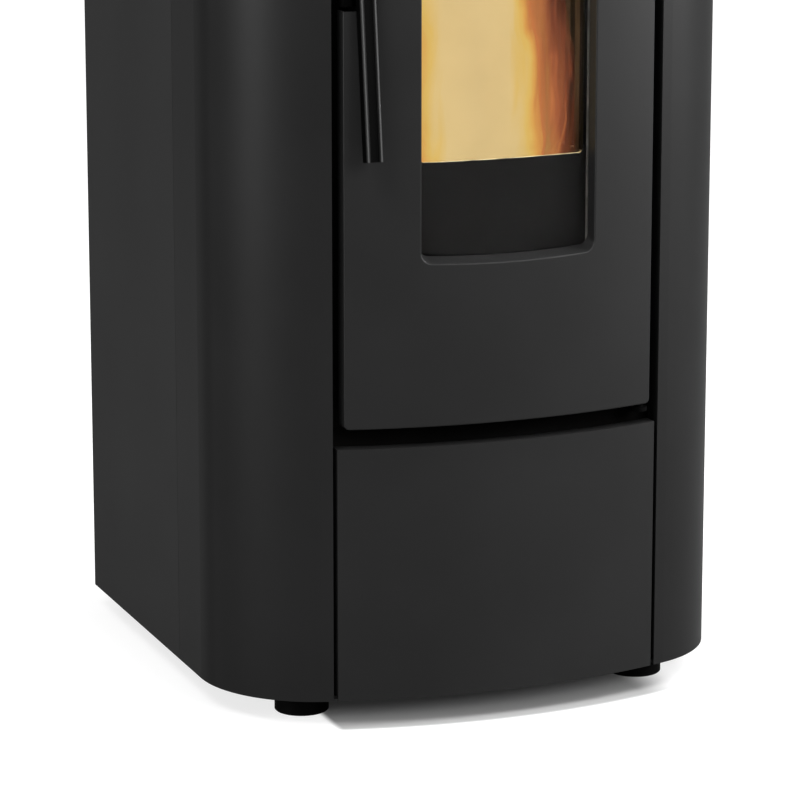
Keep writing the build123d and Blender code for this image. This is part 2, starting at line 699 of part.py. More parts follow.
def sight():
    """Front view of the clear part of the window."""
    x = WINDOW_W / 2 - SIGHT_SIDE
    return (WINDOW_X - x, WINDOW_X + x, Z_DOOR + SIGHT_LOW, Z_DOOR_TOP - WINDOW_HIGH - SIGHT_SIDE)


def door_frame():
    """Cast inner frame: bowed plate, flat-backed edge wall with the rope's groove, and knuckles."""
    x = FRAME_W / 2
    plate = bow_slab(frame_front(), frame_front() + FRAME_T, frame_low(), frame_high())
    wall = bow_slab(frame_front(), CASING_D / 4, frame_low(), frame_high())
    wall &= block(-x, x, -CASING_D, FRAME_BACK, frame_low(), frame_high())
    wall -= block(FRAME_WALL - x, x - FRAME_WALL, -CASING_D, CASING_D, frame_low() + FRAME_WALL,
                  frame_high() - FRAME_WALL)
    frame = (plate & block(-x, x, -CASING_D, CASING_D, frame_low(), frame_high())) + wall
    x0, x1, z0, z1 = sight()
    frame -= front_shape(x0, x1, z0, z1, WINDOW_R / 2)
    frame -= rope_ring(ROPE_R + FIT, FRAME_BACK - ROPE_STEP, FRAME_BACK + 1)
    for z0, z1 in hinge_levels():
        knuckle = rod_z(HINGE_X, HINGE_Y, z0, z1, KNUCKLE_R)
        knuckle += block(x - 1, HINGE_X, HINGE_Y - KNUCKLE_R / 2, HINGE_Y + KNUCKLE_R, z0, z1)
        knuckle += block(x - 1, x + 1, HINGE_Y, FRAME_BACK - ROPE_STEP, frame_low(), z1) if z0 < frame_low() \
            else block(x - 1, x + 1, HINGE_Y, FRAME_BACK - ROPE_STEP, z0, frame_high())
        frame += knuckle
        frame -= rod_z(HINGE_X, HINGE_Y, z0 - 1, z1 + 1, HINGE_PIN_R + RUN)
    return frame


def hinge_levels():
    """Lower and upper end of the two knuckles."""
    low = Z_DOOR + DOOR_CORNER_R + FIT
    high = Z_DOOR_TOP - DOOR_CORNER_R - FIT
    return [(low, low + KNUCKLE_H), (high - KNUCKLE_H, high)]


def rope_ring(r, y0, y1):
    """Square-cut ring along the middle of the inner frame's edge wall."""
    x = FRAME_W / 2 - FRAME_WALL / 2
    z0 = frame_low() + FRAME_WALL / 2
    z1 = frame_high() - FRAME_WALL / 2
    outer = front_shape(-x - r, x + r, z0 - r, z1 + r, 2 * r, y0, y1)
    return outer - front_shape(r - x, x - r, z0 + r, z1 - r, r, y0 - 1, y1 + 1)


def door_rope_seal():
    ring = rope_ring(ROPE_R, FRAME_BACK - ROPE_STEP, FIREBOX_Y - FIT)
    return fillet(ring.edges().group_by(Axis.Y)[-1], ROPE_R / 2)


def door_glass():
    x = WINDOW_W / 2 + GLASS_LAP
    near = RIM_DEPTH + FIT
    pane = bow_slab(near, near + GLASS_T, Z_DOOR, Z_DOOR_TOP)
    return pane & front_shape(WINDOW_X - x, WINDOW_X + x, Z_DOOR + WINDOW_LOW - GLASS_LAP,
                              Z_DOOR_TOP - WINDOW_HIGH + GLASS_LAP, WINDOW_R)


def glass_gasket():
    x = WINDOW_W / 2 + GLASS_LAP
    z0 = Z_DOOR + WINDOW_LOW - GLASS_LAP
    z1 = Z_DOOR_TOP - WINDOW_HIGH + GLASS_LAP
    near = glass_back() + FIT / 2
    tape = bow_slab(near, near + GASKET_T, Z_DOOR, Z_DOOR_TOP)
    ring = front_shape(WINDOW_X - x, WINDOW_X + x, z0, z1, WINDOW_R)
    w = GASKET_W
    ring -= front_shape(WINDOW_X - x + w, WINDOW_X + x - w, z0 + w, z1 - w, WINDOW_R / 2)
    return tape & ring


def panel_spacers():
    """Studs that hold the outer panel on the inner frame."""
    x = (FRAME_W - FRAME_WALL) / 2
    gap = bow_slab(SHEET + FIT / 2, frame_front() - FIT / 2, Z_DOOR, Z_DOOR_TOP)
    studs = []
    for side, z in ((-1, frame_low() + FRAME_WALL), (1, frame_low() + 3 * FRAME_WALL),
                    (-1, Z_DOOR + WINDOW_LOW), (1, Z_DOOR + WINDOW_LOW),
                    (-1, frame_high() - FRAME_WALL), (1, frame_high() - 3 * FRAME_WALL)):
        studs.append((rod_y(side * x, -PAST, SPACER_L + PAST, z, SPACER_R) & gap).solid())
    return group(studs)


def hinge_brackets():
    """Arms on the firebox plate, each with the pin that the door turns on."""
    arms = []
    for z0, z1, pin0, pin1 in (
        (Z_DOOR - HINGE_DROP - HINGE_ARM_T, Z_DOOR - HINGE_DROP, Z_DOOR - HINGE_DROP, hinge_levels()[0][1]),
        (Z_DOOR_TOP + HINGE_DROP, Z_DOOR_TOP + HINGE_DROP + HINGE_ARM_T, hinge_levels()[1][0],
         Z_DOOR_TOP + HINGE_DROP),
    ):
        w = HINGE_ARM_W / 2
        arm = block(HINGE_X - w, HINGE_X + w, HINGE_Y, FIREBOX_Y, z0, z1) + rod_z(HINGE_X, HINGE_Y, z0, z1, w)
        arm += rod_z(HINGE_X, HINGE_Y, pin0, pin1, HINGE_PIN_R)
        near = (z1, Z_DOOR - FIT) if z0 < Z_DOOR else (Z_DOOR_TOP + FIT, z0)
        arms.append(arm + rod_z(HINGE_X, HINGE_Y, near[0], near[1], HINGE_COLLAR_R))
    return group(arms)


# --- Handle and latch ----------------------------------------------------------------------------------
def handle_x():
    return HANDLE_INSET - DOOR_W / 2


def cheek_x():
    """Left side of the keeper's cheek."""
    return FIT - DOOR_W / 2 + KEEPER_T - 2 * FIT


def hook_x():
    """Left side of the hook, clear of the keeper's cheek."""
    return cheek_x() + KEEPER_T + KEEPER_PLAY


def door_handle():
    """Leaning bar, pivot boss and the latch hook, one piece."""
    x = handle_x()
    pivot = Pos(x, PIVOT_Y, Z_DOOR + PIVOT_Z) * Rot(-HANDLE_TILT, 0, 0)
    bar = Pos(0, 0, -HANDLE_LOW / 2) * Box(HANDLE_W, HANDLE_T, HANDLE_LOW)
    front = bar.edges().filter_by(Axis.Z).group_by(Axis.Y)[0]
    bar = fillet(front, HANDLE_EDGE_R)
    groove = Box(HANDLE_GROOVE_W, 2 * HANDLE_GROOVE_T, HANDLE_LOW)
    bar -= Pos(0, -HANDLE_T / 2, -HANDLE_LOW / 2 - HANDLE_W) * groove
    ribs = [e for e in bar.edges().filter_by(Axis.Z) if abs(abs((e @ 0).X) - HANDLE_GROOVE_W / 2) < RUN]
    bar = fillet([e for e in ribs if (e @ 0).Y < RUN - HANDLE_T / 2], HANDLE_GROOVE_R)
    handle = pivot * bar
    z = Z_DOOR + PIVOT_Z
    handle += rod_x(x + HANDLE_W / 2, hook_x(), PIVOT_Y, z, PIVOT_BOSS_R)
    top = z + HOOK_H / 2
    arm = block(hook_x(), hook_x() + HOOK_T, PIVOT_Y, PIVOT_Y + HOOK_REACH, top - HOOK_H, top)
    arm += block(hook_x(), hook_x() + HOOK_T, PIVOT_Y + HOOK_REACH - NOSE_T, PIVOT_Y + HOOK_REACH, top - 1,
                 top + NOSE_H)
    handle += arm
    return handle - rod_x(x + HANDLE_W, hook_x() - PAST, PIVOT_Y, z, PIVOT_PIN_R + RUN)


def bracket_right():
    return handle_x() + HANDLE_W / 2 + 2 * FIT


def handle_bracket():
    """Two ears for the pivot pin, the web that joins them and the small cover under the pivot."""
    left = FIT - DOOR_W / 2
    right = bracket_right() + EAR_T
    z = Z_DOOR + PIVOT_Z
    back = bow_y(right, frame_front()) - FIT
    low = Z_DOOR + NOTCH_LOW + 2 * EAR_T
    high = Z_DOOR + NOTCH_LOW + NOTCH_H - 2 * EAR_T
    front = BRACKET_Y
    ears = block(left, left + EAR_T, front, back, low, high)
    ears += block(right - EAR_T, right, front - EAR_T, back, low, high)
    for x0 in (left, right - EAR_T):
        ears += rod_x(x0, x0 + EAR_T, PIVOT_Y, z, PIVOT_BOSS_R)
        ears += block(x0, x0 + EAR_T, PIVOT_Y, front + 1, z - PIVOT_BOSS_R, z + PIVOT_BOSS_R)
    web = block(left, right, back - EAR_T, back, low, high)
    web -= block(left + EAR_T, hook_x() + HOOK_T + 1, back - PAST, back + PAST,
                 z - 4 * HOOK_H, z + 2 * HOOK_H)
    cover = block(left, hook_x() + HOOK_T, front, front + EAR_T, low, z - 3 * PIVOT_BOSS_R)
    bracket = ears + web + cover
    return bracket - rod_x(left - PAST, right + PAST, PIVOT_Y, z, PIVOT_PIN_R + RUN / 2)


def handle_pin():
    left = FIT - DOOR_W / 2
    return rod_x(left, bracket_right() + EAR_T, PIVOT_Y, Z_DOOR + PIVOT_Z, PIVOT_PIN_R)


def latch_keeper():
    """Stub roller on one cheek that the hook stands under, on the firebox plate."""
    z = Z_DOOR + PIVOT_Z + HOOK_H / 2 + NOSE_H + KEEPER_CLEAR + KEEPER_R
    y = PIVOT_Y + HOOK_REACH - NOSE_T - 2 * KEEPER_R
    x = cheek_x()
    keeper = rod_x(x, hook_x() + HOOK_T + FIT, y, z, KEEPER_R)
    keeper += block(x, x + KEEPER_T, y - KEEPER_R, FIREBOX_Y, z - KEEPER_R, z + 3 * KEEPER_R)
    return keeper + block(x, hook_x() + HOOK_T + FIT, FIREBOX_Y - KEEPER_T, FIREBOX_Y, z + 1.5 * KEEPER_R,
                          z + 3 * KEEPER_R)


# --- Firebox -------------------------------------------------------------------------------------------
def tube_places():
    rows = []
    for row in range(TUBE_ROWS):
        z = FIREBOX_TOP - TUBE_TOP_GAP - TUBE_ROW_PITCH * row
        for i in range(TUBES_IN_ROW):
            rows.append(((i - (TUBES_IN_ROW - 1) / 2) * TUBE_PITCH, z))
    return rows


def spout():
    """Place of the pellet spout: its -Y runs down into the fire chamber."""
    return Pos(0, FIREBOX_BACK, CHUTE_LOW + SPOUT_H / 2 + CHUTE_T) * Rot(SPOUT_TILT, 0, 0)


def spout_solid(grow, reach):
    half = SPOUT_H / 2 + grow
    run = reach + SPOUT_BACK
    return spout() * Pos(0, run / 2 - reach, 0) * Box(SPOUT_W + 2 * grow, run, 2 * half)


def spout_length():
    return SPOUT_REACH / cos(radians(SPOUT_TILT))


def firebox_body():
    """Welded box with the plate that the door closes on, and holes for what passes through it."""
    x = FIREBOX_W / 2
    t = FIREBOX_T
    y0 = FIREBOX_Y + t
    body = block(-x, x, y0, FIREBOX_BACK, FIREBOX_LOW, FIREBOX_TOP)
    body -= block(t - x, x - t, y0 - 1, FIREBOX_BACK - t, FIREBOX_LOW + t, FIREBOX_TOP - t)
    body += block(-PLATE_W / 2, PLATE_W / 2, FIREBOX_Y, y0, Z_DOOR - PLATE_UNDER, FIREBOX_TOP + PLATE_OVER)
    low = FIREBOX_LOW + MOUTH_LOW
    body -= front_shape(-MOUTH_W / 2, MOUTH_W / 2, low, Z_DOOR_TOP - MOUTH_HIGH, MOUTH_R,
                        FIREBOX_Y - 1, y0 + 1)
    for tx, tz in tube_places():
        body -= rod_y(tx, FIREBOX_Y - PAST, FIREBOX_BACK + PAST, tz, TUBE_R + RUN)
    body -= spout_solid(FIT, spout_length())
    body -= rod_y(IGNITER_X, FIREBOX_BACK - PAST, FIREBOX_BACK + PAST, IGNITER_Z, IGNITER_R + RUN)
    body -= rod_y(INLET_X, FIREBOX_BACK - t - 1, FIREBOX_BACK + 1, INLET_PORT_Z, INLET_R + RUN)
    body -= block(DUCT_X + DUCT_T, x - 2 * t, DUCT_Y + DUCT_T, DUCT_Y + DUCT_D - DUCT_T, FIREBOX_LOW - 1,
                  FIREBOX_LOW + t + 1)
    return body


def lining_back():
    """Ribbed back plate, with the hole that pellets drop through."""
    x = FIREBOX_W / 2 - FIREBOX_T - LINING_GAP
    y1 = FIREBOX_BACK - FIREBOX_T - LINING_GAP
    z0 = HOLDER_Z + HOLDER_T
    plate = block(-x, x, y1 - LINING_T, y1, z0, LINING_TOP)
    for i in range(RIBS):
        xi = (i - (RIBS - 1) / 2) * (2 * x - 2 * LINING_T - RIB_W) / RIBS
        plate += block(xi - RIB_W / 2, xi + RIB_W / 2, y1 - LINING_T - RIB_T, y1, z0 + POT_H, LINING_TOP)
    plate -= spout_solid(2 * FIT, spout_length() + SPOUT_REACH)
    plate -= rod_y(IGNITER_X, y1 - 2 * LINING_T - RIB_T, y1 + PAST, IGNITER_Z, IGNITER_R + FIT)
    return plate


def lining_sides():
    """Two side plates, each with upright grooves."""
    plates = []
    back = FIREBOX_BACK - FIREBOX_T - LINING_GAP - LINING_T - LINING_GAP
    front = FIREBOX_Y + FIREBOX_T + LINING_GAP
    for side in (-1, 1):
        out = side * (FIREBOX_W / 2 - FIREBOX_T - LINING_GAP)
        inner = out - side * LINING_T
        plate = block(out, inner, front, back, HOLDER_Z + HOLDER_T, LINING_TOP)
        count = int((back - front) / (2 * RIB_W))
        for i in range(count):
            y = front + RIB_W + i * 2 * RIB_W
            plate -= block(inner - side, inner + side * RIB_T, y, y + RIB_W, HOLDER_Z + POT_H, LINING_TOP + 1)
        plates.append(plate)
    return plates


def baffle_plate():
    """Plate over the fire that sends the smoke forward, resting on the side plates."""
    x = FIREBOX_W / 2 - FIREBOX_T - LINING_GAP
    front = FIREBOX_Y + FIREBOX_T + BAFFLE_FRONT
    back = FIREBOX_BACK - FIREBOX_T - LINING_GAP
    plate = block(-x, x, front, back, LINING_TOP, LINING_TOP + BAFFLE_T)
    x -= LINING_T + LINING_GAP
    return plate + block(-x, x, front, front + BAFFLE_T, LINING_TOP - BAFFLE_LIP, LINING_TOP)


def fire_chamber_plates():
    """The loose cast plates that line the fire chamber."""
    return group([lining_back(), *lining_sides(), baffle_plate()])


def burn_pot_holder():
    """Shelf with a round seat for the burn pot, on two ledges."""
    x = FIREBOX_W / 2 - FIREBOX_T
    y0 = FIREBOX_Y + FIREBOX_T + LINING_GAP
    shelf = block(-x, x, y0, FIREBOX_BACK - FIREBOX_T, HOLDER_Z, HOLDER_Z + HOLDER_T)
    for side in (-1, 1):
        shelf += block(side * (x - RIB_W), side * x, y0, FIREBOX_BACK - FIREBOX_T,
                       HOLDER_Z - HOLDER_T, HOLDER_Z)
    return shelf - rod_z(0, POT_Y, HOLDER_Z - PAST, HOLDER_Z + PAST, POT_R + FIT)


def burn_pot():
    """Cast cup that hangs in its holder by a flange, with air holes."""
    z0 = HOLDER_Z + HOLDER_T + FIT - POT_DROP
    z1 = z0 + POT_H
    seat = HOLDER_Z + HOLDER_T + FIT
    place = Pos(0, POT_Y, (z0 + z1) / 2)
    pot = place * Cone(POT_LOW_R, POT_R - FIT, POT_H)
    pot += rod_z(0, POT_Y, seat, seat + POT_FLANGE_T, POT_FLANGE_R)
    pot -= Pos(0, 0, POT_T) * place * Cone(POT_LOW_R - POT_T, POT_R - POT_T, POT_H)
    for n in range(POT_RINGS):
        ring, count = n * POT_RING_STEP, max(1, n * POT_HOLES)
        for i in range(count):
            a = 2 * pi * i / count
            pot -= rod_z(ring * cos(a), POT_Y + ring * sin(a), z0 - 1, z0 + POT_T + 1, POT_HOLE_R)
    for z in (seat + POT_FLANGE_T + POT_ROW_LOW, seat + POT_FLANGE_T + POT_ROW_HIGH):
        for i in range(POT_HOLES):
            turn = Rot(0, 0, 180 * i / POT_HOLES)
            pot -= Pos(0, POT_Y, z) * turn * rod_x(-POT_R - PAST, POT_R + PAST, 0, 0, POT_HOLE_R)
    return pot


def ash_pan():
    """Open pan under the burn pot, with a folded front and a pull."""
    z = FIREBOX_LOW + FIREBOX_T
    y0 = FIREBOX_Y + FIREBOX_T + ASH_FRONT_GAP
    y1 = FIREBOX_BACK - FIREBOX_T - ASH_BACK_GAP
    pan = block(-ASH_W / 2, ASH_W / 2, y0, y1, z, z + ASH_H)
    pan -= block(ASH_T - ASH_W / 2, ASH_W / 2 - ASH_T, y0 + ASH_T, y1 - ASH_T, z + ASH_T, z + ASH_H + 1)
    pull = block(-PULL_W / 2, PULL_W / 2, y0 - FOLD, y0, z + ASH_H - 2 * FOLD, z + ASH_H - FOLD)
    pull -= block(-PULL_W / 2 + ASH_T, PULL_W / 2 - ASH_T, y0 - FOLD + ASH_T, y0, z, z + ASH_H - FOLD - ASH_T)
    return pan + pull


def heat_exchanger_tubes():
    tubes = []
    for x, z in tube_places():
        tube = rod_y(x, TUBE_FRONT, FIREBOX_BACK + FIT / 2, z, TUBE_R)
        tubes.append(tube - rod_y(x, TUBE_FRONT - 1, FIREBOX_BACK + PAST, z, TUBE_R - TUBE_T))
    return group(tubes)


def igniter():
    """Cartridge heater in its socket, pointing at the burn pot."""
    tip = POT_Y + POT_FLANGE_R + 2
    rod = rod_y(IGNITER_X, tip, FIREBOX_BACK + IGNITER_BACK, IGNITER_Z, IGNITER_R)
    return rod + rod_y(IGNITER_X, FIREBOX_BACK, FIREBOX_BACK + IGNITER_BACK / 2, IGNITER_Z, IGNITER_SOCKET_R)


# --- Fuel feed -------------------------------------------------------------------------------------------
def hopper_body(wall, over):
    """The hopper's form, drawn in by its wall and run over its ends by over."""
    x = HOPPER_W / 2 - wall
    y0, y1 = HOPPER_Y + wall, HOPPER_Y + HOPPER_D - wall
    tx = THROAT_W / 2 - wall
    ty0, ty1 = THROAT_Y - THROAT_D / 2 + wall, THROAT_Y + THROAT_D / 2 - wall
    wide = Pos(0, (y0 + y1) / 2, FUNNEL_TOP) * Rectangle(2 * x, y1 - y0)
    small = Pos(0, (ty0 + ty1) / 2, FUNNEL_LOW) * Rectangle(2 * tx, ty1 - ty0)
    body = block(-x, x, y0, y1, FUNNEL_TOP, Z_COVER - TOP_T + over) + loft([small, wide])
    if over:
        body += block(-tx, tx, ty0, ty1, FUNNEL_LOW - over, FUNNEL_LOW)
    return body


def hopper():
    """Sheet hopper: straight rim with a flange, funnel and throat."""
    x = HOPPER_W / 2 + HOPPER_FLANGE
    top = Z_COVER - TOP_T
    y0, y1 = HOPPER_Y - HOPPER_FLANGE / 2, HOPPER_Y + HOPPER_D + HOPPER_FLANGE / 2
    flange = block(-x, x, y0, y1, top - HOPPER_T, top)
    return hopper_body(0, 0) + flange - hopper_body(HOPPER_T, 1)


def hopper_guard():
    """Welded grate across the hopper that keeps hands away from the auger."""
    z = Z_COVER - TOP_T - GRATE_DEPTH
    x = HOPPER_W / 2 - HOPPER_T - FIT
    y0 = HOPPER_Y + HOPPER_T + FIT
    y1 = HOPPER_Y + HOPPER_D - HOPPER_T - FIT
    r = GRATE_BAR_R
    grate = block(-x, x, y0, y0 + 2 * r, z - r, z + r) + block(-x, x, y1 - 2 * r, y1, z - r, z + r)
    grate += block(-x, 2 * r - x, y0, y1, z - r, z + r) + block(x - 2 * r, x, y0, y1, z - r, z + r)
    for i in range(GRATE_BARS):
        xi = (i + 1) * 2 * x / (GRATE_BARS + 1) - x
        grate += rod_y(xi, y0 + r, y1 - r, z, r)
    return grate


def auger_place():
    """The auger's own frame: its Z runs up the tube from the lower end."""
    return Pos(0, AUGER_Y, AUGER_Z) * Rot(90 - AUGER_TILT, 0, 0)


def auger_tube():
    """Inclined tube with a capped lower end and the throat that the hopper stands on."""
    place = auger_place()
    y0 = THROAT_Y - THROAT_D / 2
    y1 = THROAT_Y + THROAT_D / 2
    x = THROAT_W / 2
    low = AUGER_Z + AUGER_TUBE_R
    t = HOPPER_T
    tube = place * Pos(0, 0, AUGER_L / 2) * Cylinder(AUGER_TUBE_R, AUGER_L)
    tube += block(-x, x, y0, y1, low, FUNNEL_LOW)
    tube -= place * Pos(0, 0, AUGER_L / 2 + AUGER_TUBE_T) * Cylinder(AUGER_TUBE_R - AUGER_TUBE_T, AUGER_L)
    tube -= block(t - x, x - t, y0 + t, y1 - t, low, FUNNEL_LOW + 1)
    return tube - place * Cylinder(SHAFT_R + RUN, 4 * AUGER_TUBE_T)


def auger_screw():
    """Shaft with its helical flight."""
    length = FLIGHT_PITCH * FLIGHT_TURNS
    middle = (AUGER_L - GEARBOX_T / 2) / 2 - SHAFT_SHIFT
    shaft = Pos(0, 0, middle) * Cylinder(SHAFT_R, AUGER_L + GEARBOX_T / 2)
    start = 2 * AUGER_TUBE_T + FLIGHT_T
    middle = (SHAFT_R + FLIGHT_R - 1) / 2
    width = FLIGHT_R - SHAFT_R + 1
    section = Pos(middle, 0, start) * Rot(90, 0, 0) * Rectangle(width, FLIGHT_T)
    path = Pos(0, 0, start) * Helix(FLIGHT_PITCH, length, middle)
    flight = sweep(section, path=path, is_frenet=True)
    return auger_place() * (shaft + flight)


def auger_gearmotor():
    """Gearbox and motor under the lower end of the tube."""
    box = Pos(0, 0, -GEARBOX_T / 2) * Box(GEARBOX, GEARBOX, GEARBOX_T)
    box -= Pos(0, 0, -GEARBOX_T / 4) * Cylinder(SHAFT_R + RUN, GEARBOX_T)
    motor = Pos(0, 0, -GEARBOX_T - MOTOR_L / 2) * Cylinder(MOTOR_R, MOTOR_L)
    return auger_place() * (box + motor)


def pellet_chute():
    """Drop box over the auger's upper end, and the spout into the fire chamber."""
    x = CHUTE_W / 2
    t = CHUTE_T
    chute = block(-x, x, FIREBOX_BACK, CHUTE_BACK, CHUTE_LOW, CHUTE_TOP)
    reach = spout_length()
    spout_out = spout_solid(0, reach)
    inside = block(t - x, x - t, FIREBOX_BACK + t, CHUTE_BACK - t, CHUTE_LOW + t, CHUTE_TOP - t)
    spout_in = spout() * Pos(0, -reach / 2, 0) * Box(SPOUT_W - 2 * t, reach + 2 * t + PAST, SPOUT_H - 2 * t)
    chute = chute + (spout_out - block(-x, x, FIREBOX_BACK + t, CASING_D, 0, Z_TOP)) - inside - spout_in
    return chute - auger_place() * Pos(0, 0, AUGER_L / 2) * Cylinder(AUGER_TUBE_R + RUN, 2 * AUGER_L)


# --- Air and smoke -----------------------------------------------------------------------------------------
def duct_right():
    return FLUE_X - SCROLL_W / 2


def smoke_duct():
    """Riser under the firebox and the box that leads the smoke to the blower."""
    x0, x1 = DUCT_X, duct_right()
    t = DUCT_T
    y0, y1 = DUCT_Y, DUCT_Y + DUCT_D
    far = SCROLL_Y + FAN_MOTOR_R + 4 * t
    top = DUCT_LOW + DUCT_H
    riser = block(x0, x1, y0, y1, DUCT_LOW, FIREBOX_LOW) + block(x0, x1, y0, far, DUCT_LOW, top)
    hollow = block(x0 + t, x1 - t, y0 + t, y1 - t, DUCT_LOW + t, FIREBOX_LOW + 1)
    hollow += block(x0 + t, x1 - t, y0 + t, far - t, DUCT_LOW + t, top - t)
    return riser - hollow - rod_x(x1 - PAST, x1 + PAST, SCROLL_Y, SCROLL_Z, FAN_MOTOR_R)


def exhaust_housing():
    """Scroll of the exhaust blower and its outlet towards the back."""
    x0 = FLUE_X - SCROLL_W / 2
    x1 = FLUE_X + SCROLL_W / 2
    t = SCROLL_T
    high = SCROLL_Z + SCROLL_R
    low = high - 2 * FLUE_R + 2 * t
    outside = rod_x(x0, x1, SCROLL_Y, SCROLL_Z, SCROLL_R)
    outside += block(x0, x1, SCROLL_Y, SCROLL_Y + SCROLL_R, low, high)
    inside = rod_x(x0 + t, x1 - t, SCROLL_Y, SCROLL_Z, SCROLL_R - t)
    inside += block(x0 + t, x1 - t, SCROLL_Y, SCROLL_Y + SCROLL_R + 1, low + t, high - t)
    housing = outside - inside
    housing -= rod_x(x0 - PAST, x0 + PAST, SCROLL_Y, SCROLL_Z, FAN_MOTOR_R - t)
    return housing - rod_x(x1 - PAST, x1 + PAST, SCROLL_Y, SCROLL_Z, FAN_SHAFT_R + RUN)


def impeller(x0, x1, y, z, r, hub_side):
    """Radial-bladed wheel on a shaft that runs towards hub_side."""
    plate_x = x1 if hub_side > 0 else x0
    wheel = rod_x(plate_x, plate_x - hub_side * 2 * BLADE_T, y, z, r)
    wheel += rod_x(x0, x1, y, z, HUB_R)
    blade = block(x0, x1, -BLADE_T / 2, BLADE_T / 2, 2 * FAN_SHAFT_R, r - BLADE_T)
    for i in range(BLADES):
        wheel += Pos(0, y, z) * Rot(360 * i / BLADES, 0, 0) * blade
    reach = plate_x + hub_side * FAN_MOTOR_L / 2
    return wheel + rod_x(plate_x, reach, y, z, FAN_SHAFT_R)


def exhaust_impeller():
    gap = SCROLL_T + WHEEL_GAP
    x0, x1 = FLUE_X - SCROLL_W / 2 + gap, FLUE_X + SCROLL_W / 2 - gap
    return impeller(x0, x1, SCROLL_Y, SCROLL_Z, IMPELLER_R, 1)


def fan_motor(x0, x1, y, z):
    """Finned motor can with a bored nose for the wheel's shaft."""
    motor = rod_x(x0, x1, y, z, FAN_MOTOR_R)
    for i in range(MOTOR_GROOVES):
        x = x0 + (i + 1) * (x1 - x0) / (MOTOR_GROOVES + 1)
        g0, g1 = x - MOTOR_GROOVE_W / 2, x + MOTOR_GROOVE_W / 2
        motor -= rod_x(g0, g1, y, z, FAN_MOTOR_R + 1) - rod_x(g0, g1, y, z, FAN_MOTOR_R - MOTOR_GROOVE_W)
    return motor - rod_x(x0 - 1, (x0 + x1) / 2, y, z, FAN_SHAFT_R + RUN)


def flue_outlet():
    """Round spigot from the blower's outlet through the rear panel."""
    y0 = SCROLL_Y + SCROLL_R
    pipe = rod_y(FLUE_X, y0, CASING_D + FLUE_STUB, FLUE_Z, FLUE_R)
    x = SCROLL_W / 2 + COLLAR_LAP
    collar = block(FLUE_X - x, FLUE_X + x, y0, y0 + COLLAR_T, FLUE_Z - FLUE_R, FLUE_Z + FLUE_R)
    bead = rod_y(FLUE_X, CASING_D, CASING_D + PIPE_BEAD_T, FLUE_Z, FLUE_R + PIPE_BEAD_W)
    return pipe + collar + bead - rod_y(FLUE_X, y0 - 1, CASING_D + FLUE_STUB + 1, FLUE_Z, FLUE_R - FLUE_T)


def inlet_pipe(r):
    ends = [
        (INLET_X, CASING_D + INLET_STUB, INLET_Z),
        (INLET_X, INLET_RISE_Y, INLET_Z),
        (INLET_X, INLET_RISE_Y, INLET_PORT_Z),
        (INLET_X, FIREBOX_BACK - FIREBOX_T, INLET_PORT_Z),
    ]
    path = FilletPolyline(*ends, radius=INLET_BEND)
    return sweep(Plane(ends[0], z_dir=(0, -1, 0)) * Circle(r), path=path)


def combustion_air_inlet():
    """Bent pipe from the rear panel up to the firebox."""
    bead = rod_y(INLET_X, CASING_D, CASING_D + PIPE_BEAD_T, INLET_Z, INLET_R + PIPE_BEAD_W)
    return inlet_pipe(INLET_R) + bead - inlet_pipe(INLET_R - INLET_T)


def room_fan_housing():
    """Scroll of the room air blower, open at both sides, with its outlet upwards."""
    x0, x1 = ROOM_FAN_X, ROOM_FAN_X + ROOM_FAN_W
    t = SCROLL_T
    r = ROOM_FAN_R
    y, z = ROOM_FAN_Y, ROOM_FAN_Z
    top = z + r + 4 * t
    outside = rod_x(x0, x1, y, z, r) + block(x0, x1, y - r, y, z, top)
    inside = rod_x(x0 + t, x1 - t, y, z, r - t) + block(x0 + t, x1 - t, y - r + t, y - t, z, top + 1)
    housing = outside - inside
    housing -= rod_x(x0 - PAST, x0 + PAST, y, z, ROOM_EYE_R)
    return housing - rod_x(x1 - PAST, x1 + PAST, y, z, FAN_SHAFT_R + RUN)


def room_impeller():
    gap = SCROLL_T + WHEEL_GAP
    x0, x1 = ROOM_FAN_X + gap, ROOM_FAN_X + ROOM_FAN_W - gap
    return impeller(x0, x1, ROOM_FAN_Y, ROOM_FAN_Z, ROOM_IMPELLER_R, 1)


def blower_motors():
    """The two like motors, on the exhaust blower and on the room air blower."""
    exhaust = FLUE_X + SCROLL_W / 2
    room = ROOM_FAN_X + ROOM_FAN_W
    return group([fan_motor(exhaust, exhaust + FAN_MOTOR_L, SCROLL_Y, SCROLL_Z),
        fan_motor(room, room + FAN_MOTOR_L, ROOM_FAN_Y, ROOM_FAN_Z),
    ])


def warm_air_duct():
    """Flat riser behind the firebox from the blower up to the tubes."""
    def shape(t, over):
        y0 = FIREBOX_BACK + FIT
        y1 = y0 + RISER_D
        z0 = ROOM_FAN_Z + ROOM_FAN_R + 4 * SCROLL_T
        x0, x1 = ROOM_FAN_X, ROOM_FAN_X + ROOM_FAN_W
        low = z0 + 2 * RISER_D
        top = FIREBOX_TOP
        body = block(x0 + t, x1 - t, y0 + t, ROOM_FAN_Y - t, z0 - over, low - t)
        body += block(x0 + t, x1 - t, y0 + t, y1 - t, z0 - over, top - t)
        return body + block(t - PLENUM_W / 2, PLENUM_W / 2 - t, y0 + t, y1 - t, top - PLENUM_H + t, top - t)
    duct = shape(0, 0) - shape(RISER_T, 1)
    for x, z in tube_places():
        duct -= rod_y(x, FIREBOX_BACK - 1, FIREBOX_BACK + RISER_D / 2, z, TUBE_R - TUBE_T)
    return duct


# --- Top -------------------------------------------------------------------------------------------------
def lid_mouth():
    """Front and back of the opening in the top cover that the lid closes."""
    return (LID_Y + LID_LAP, LID_Y + LID_D - LID_LAP)


def bezel_place():
    return Pos(0, BEZEL_Y, Z_COVER)


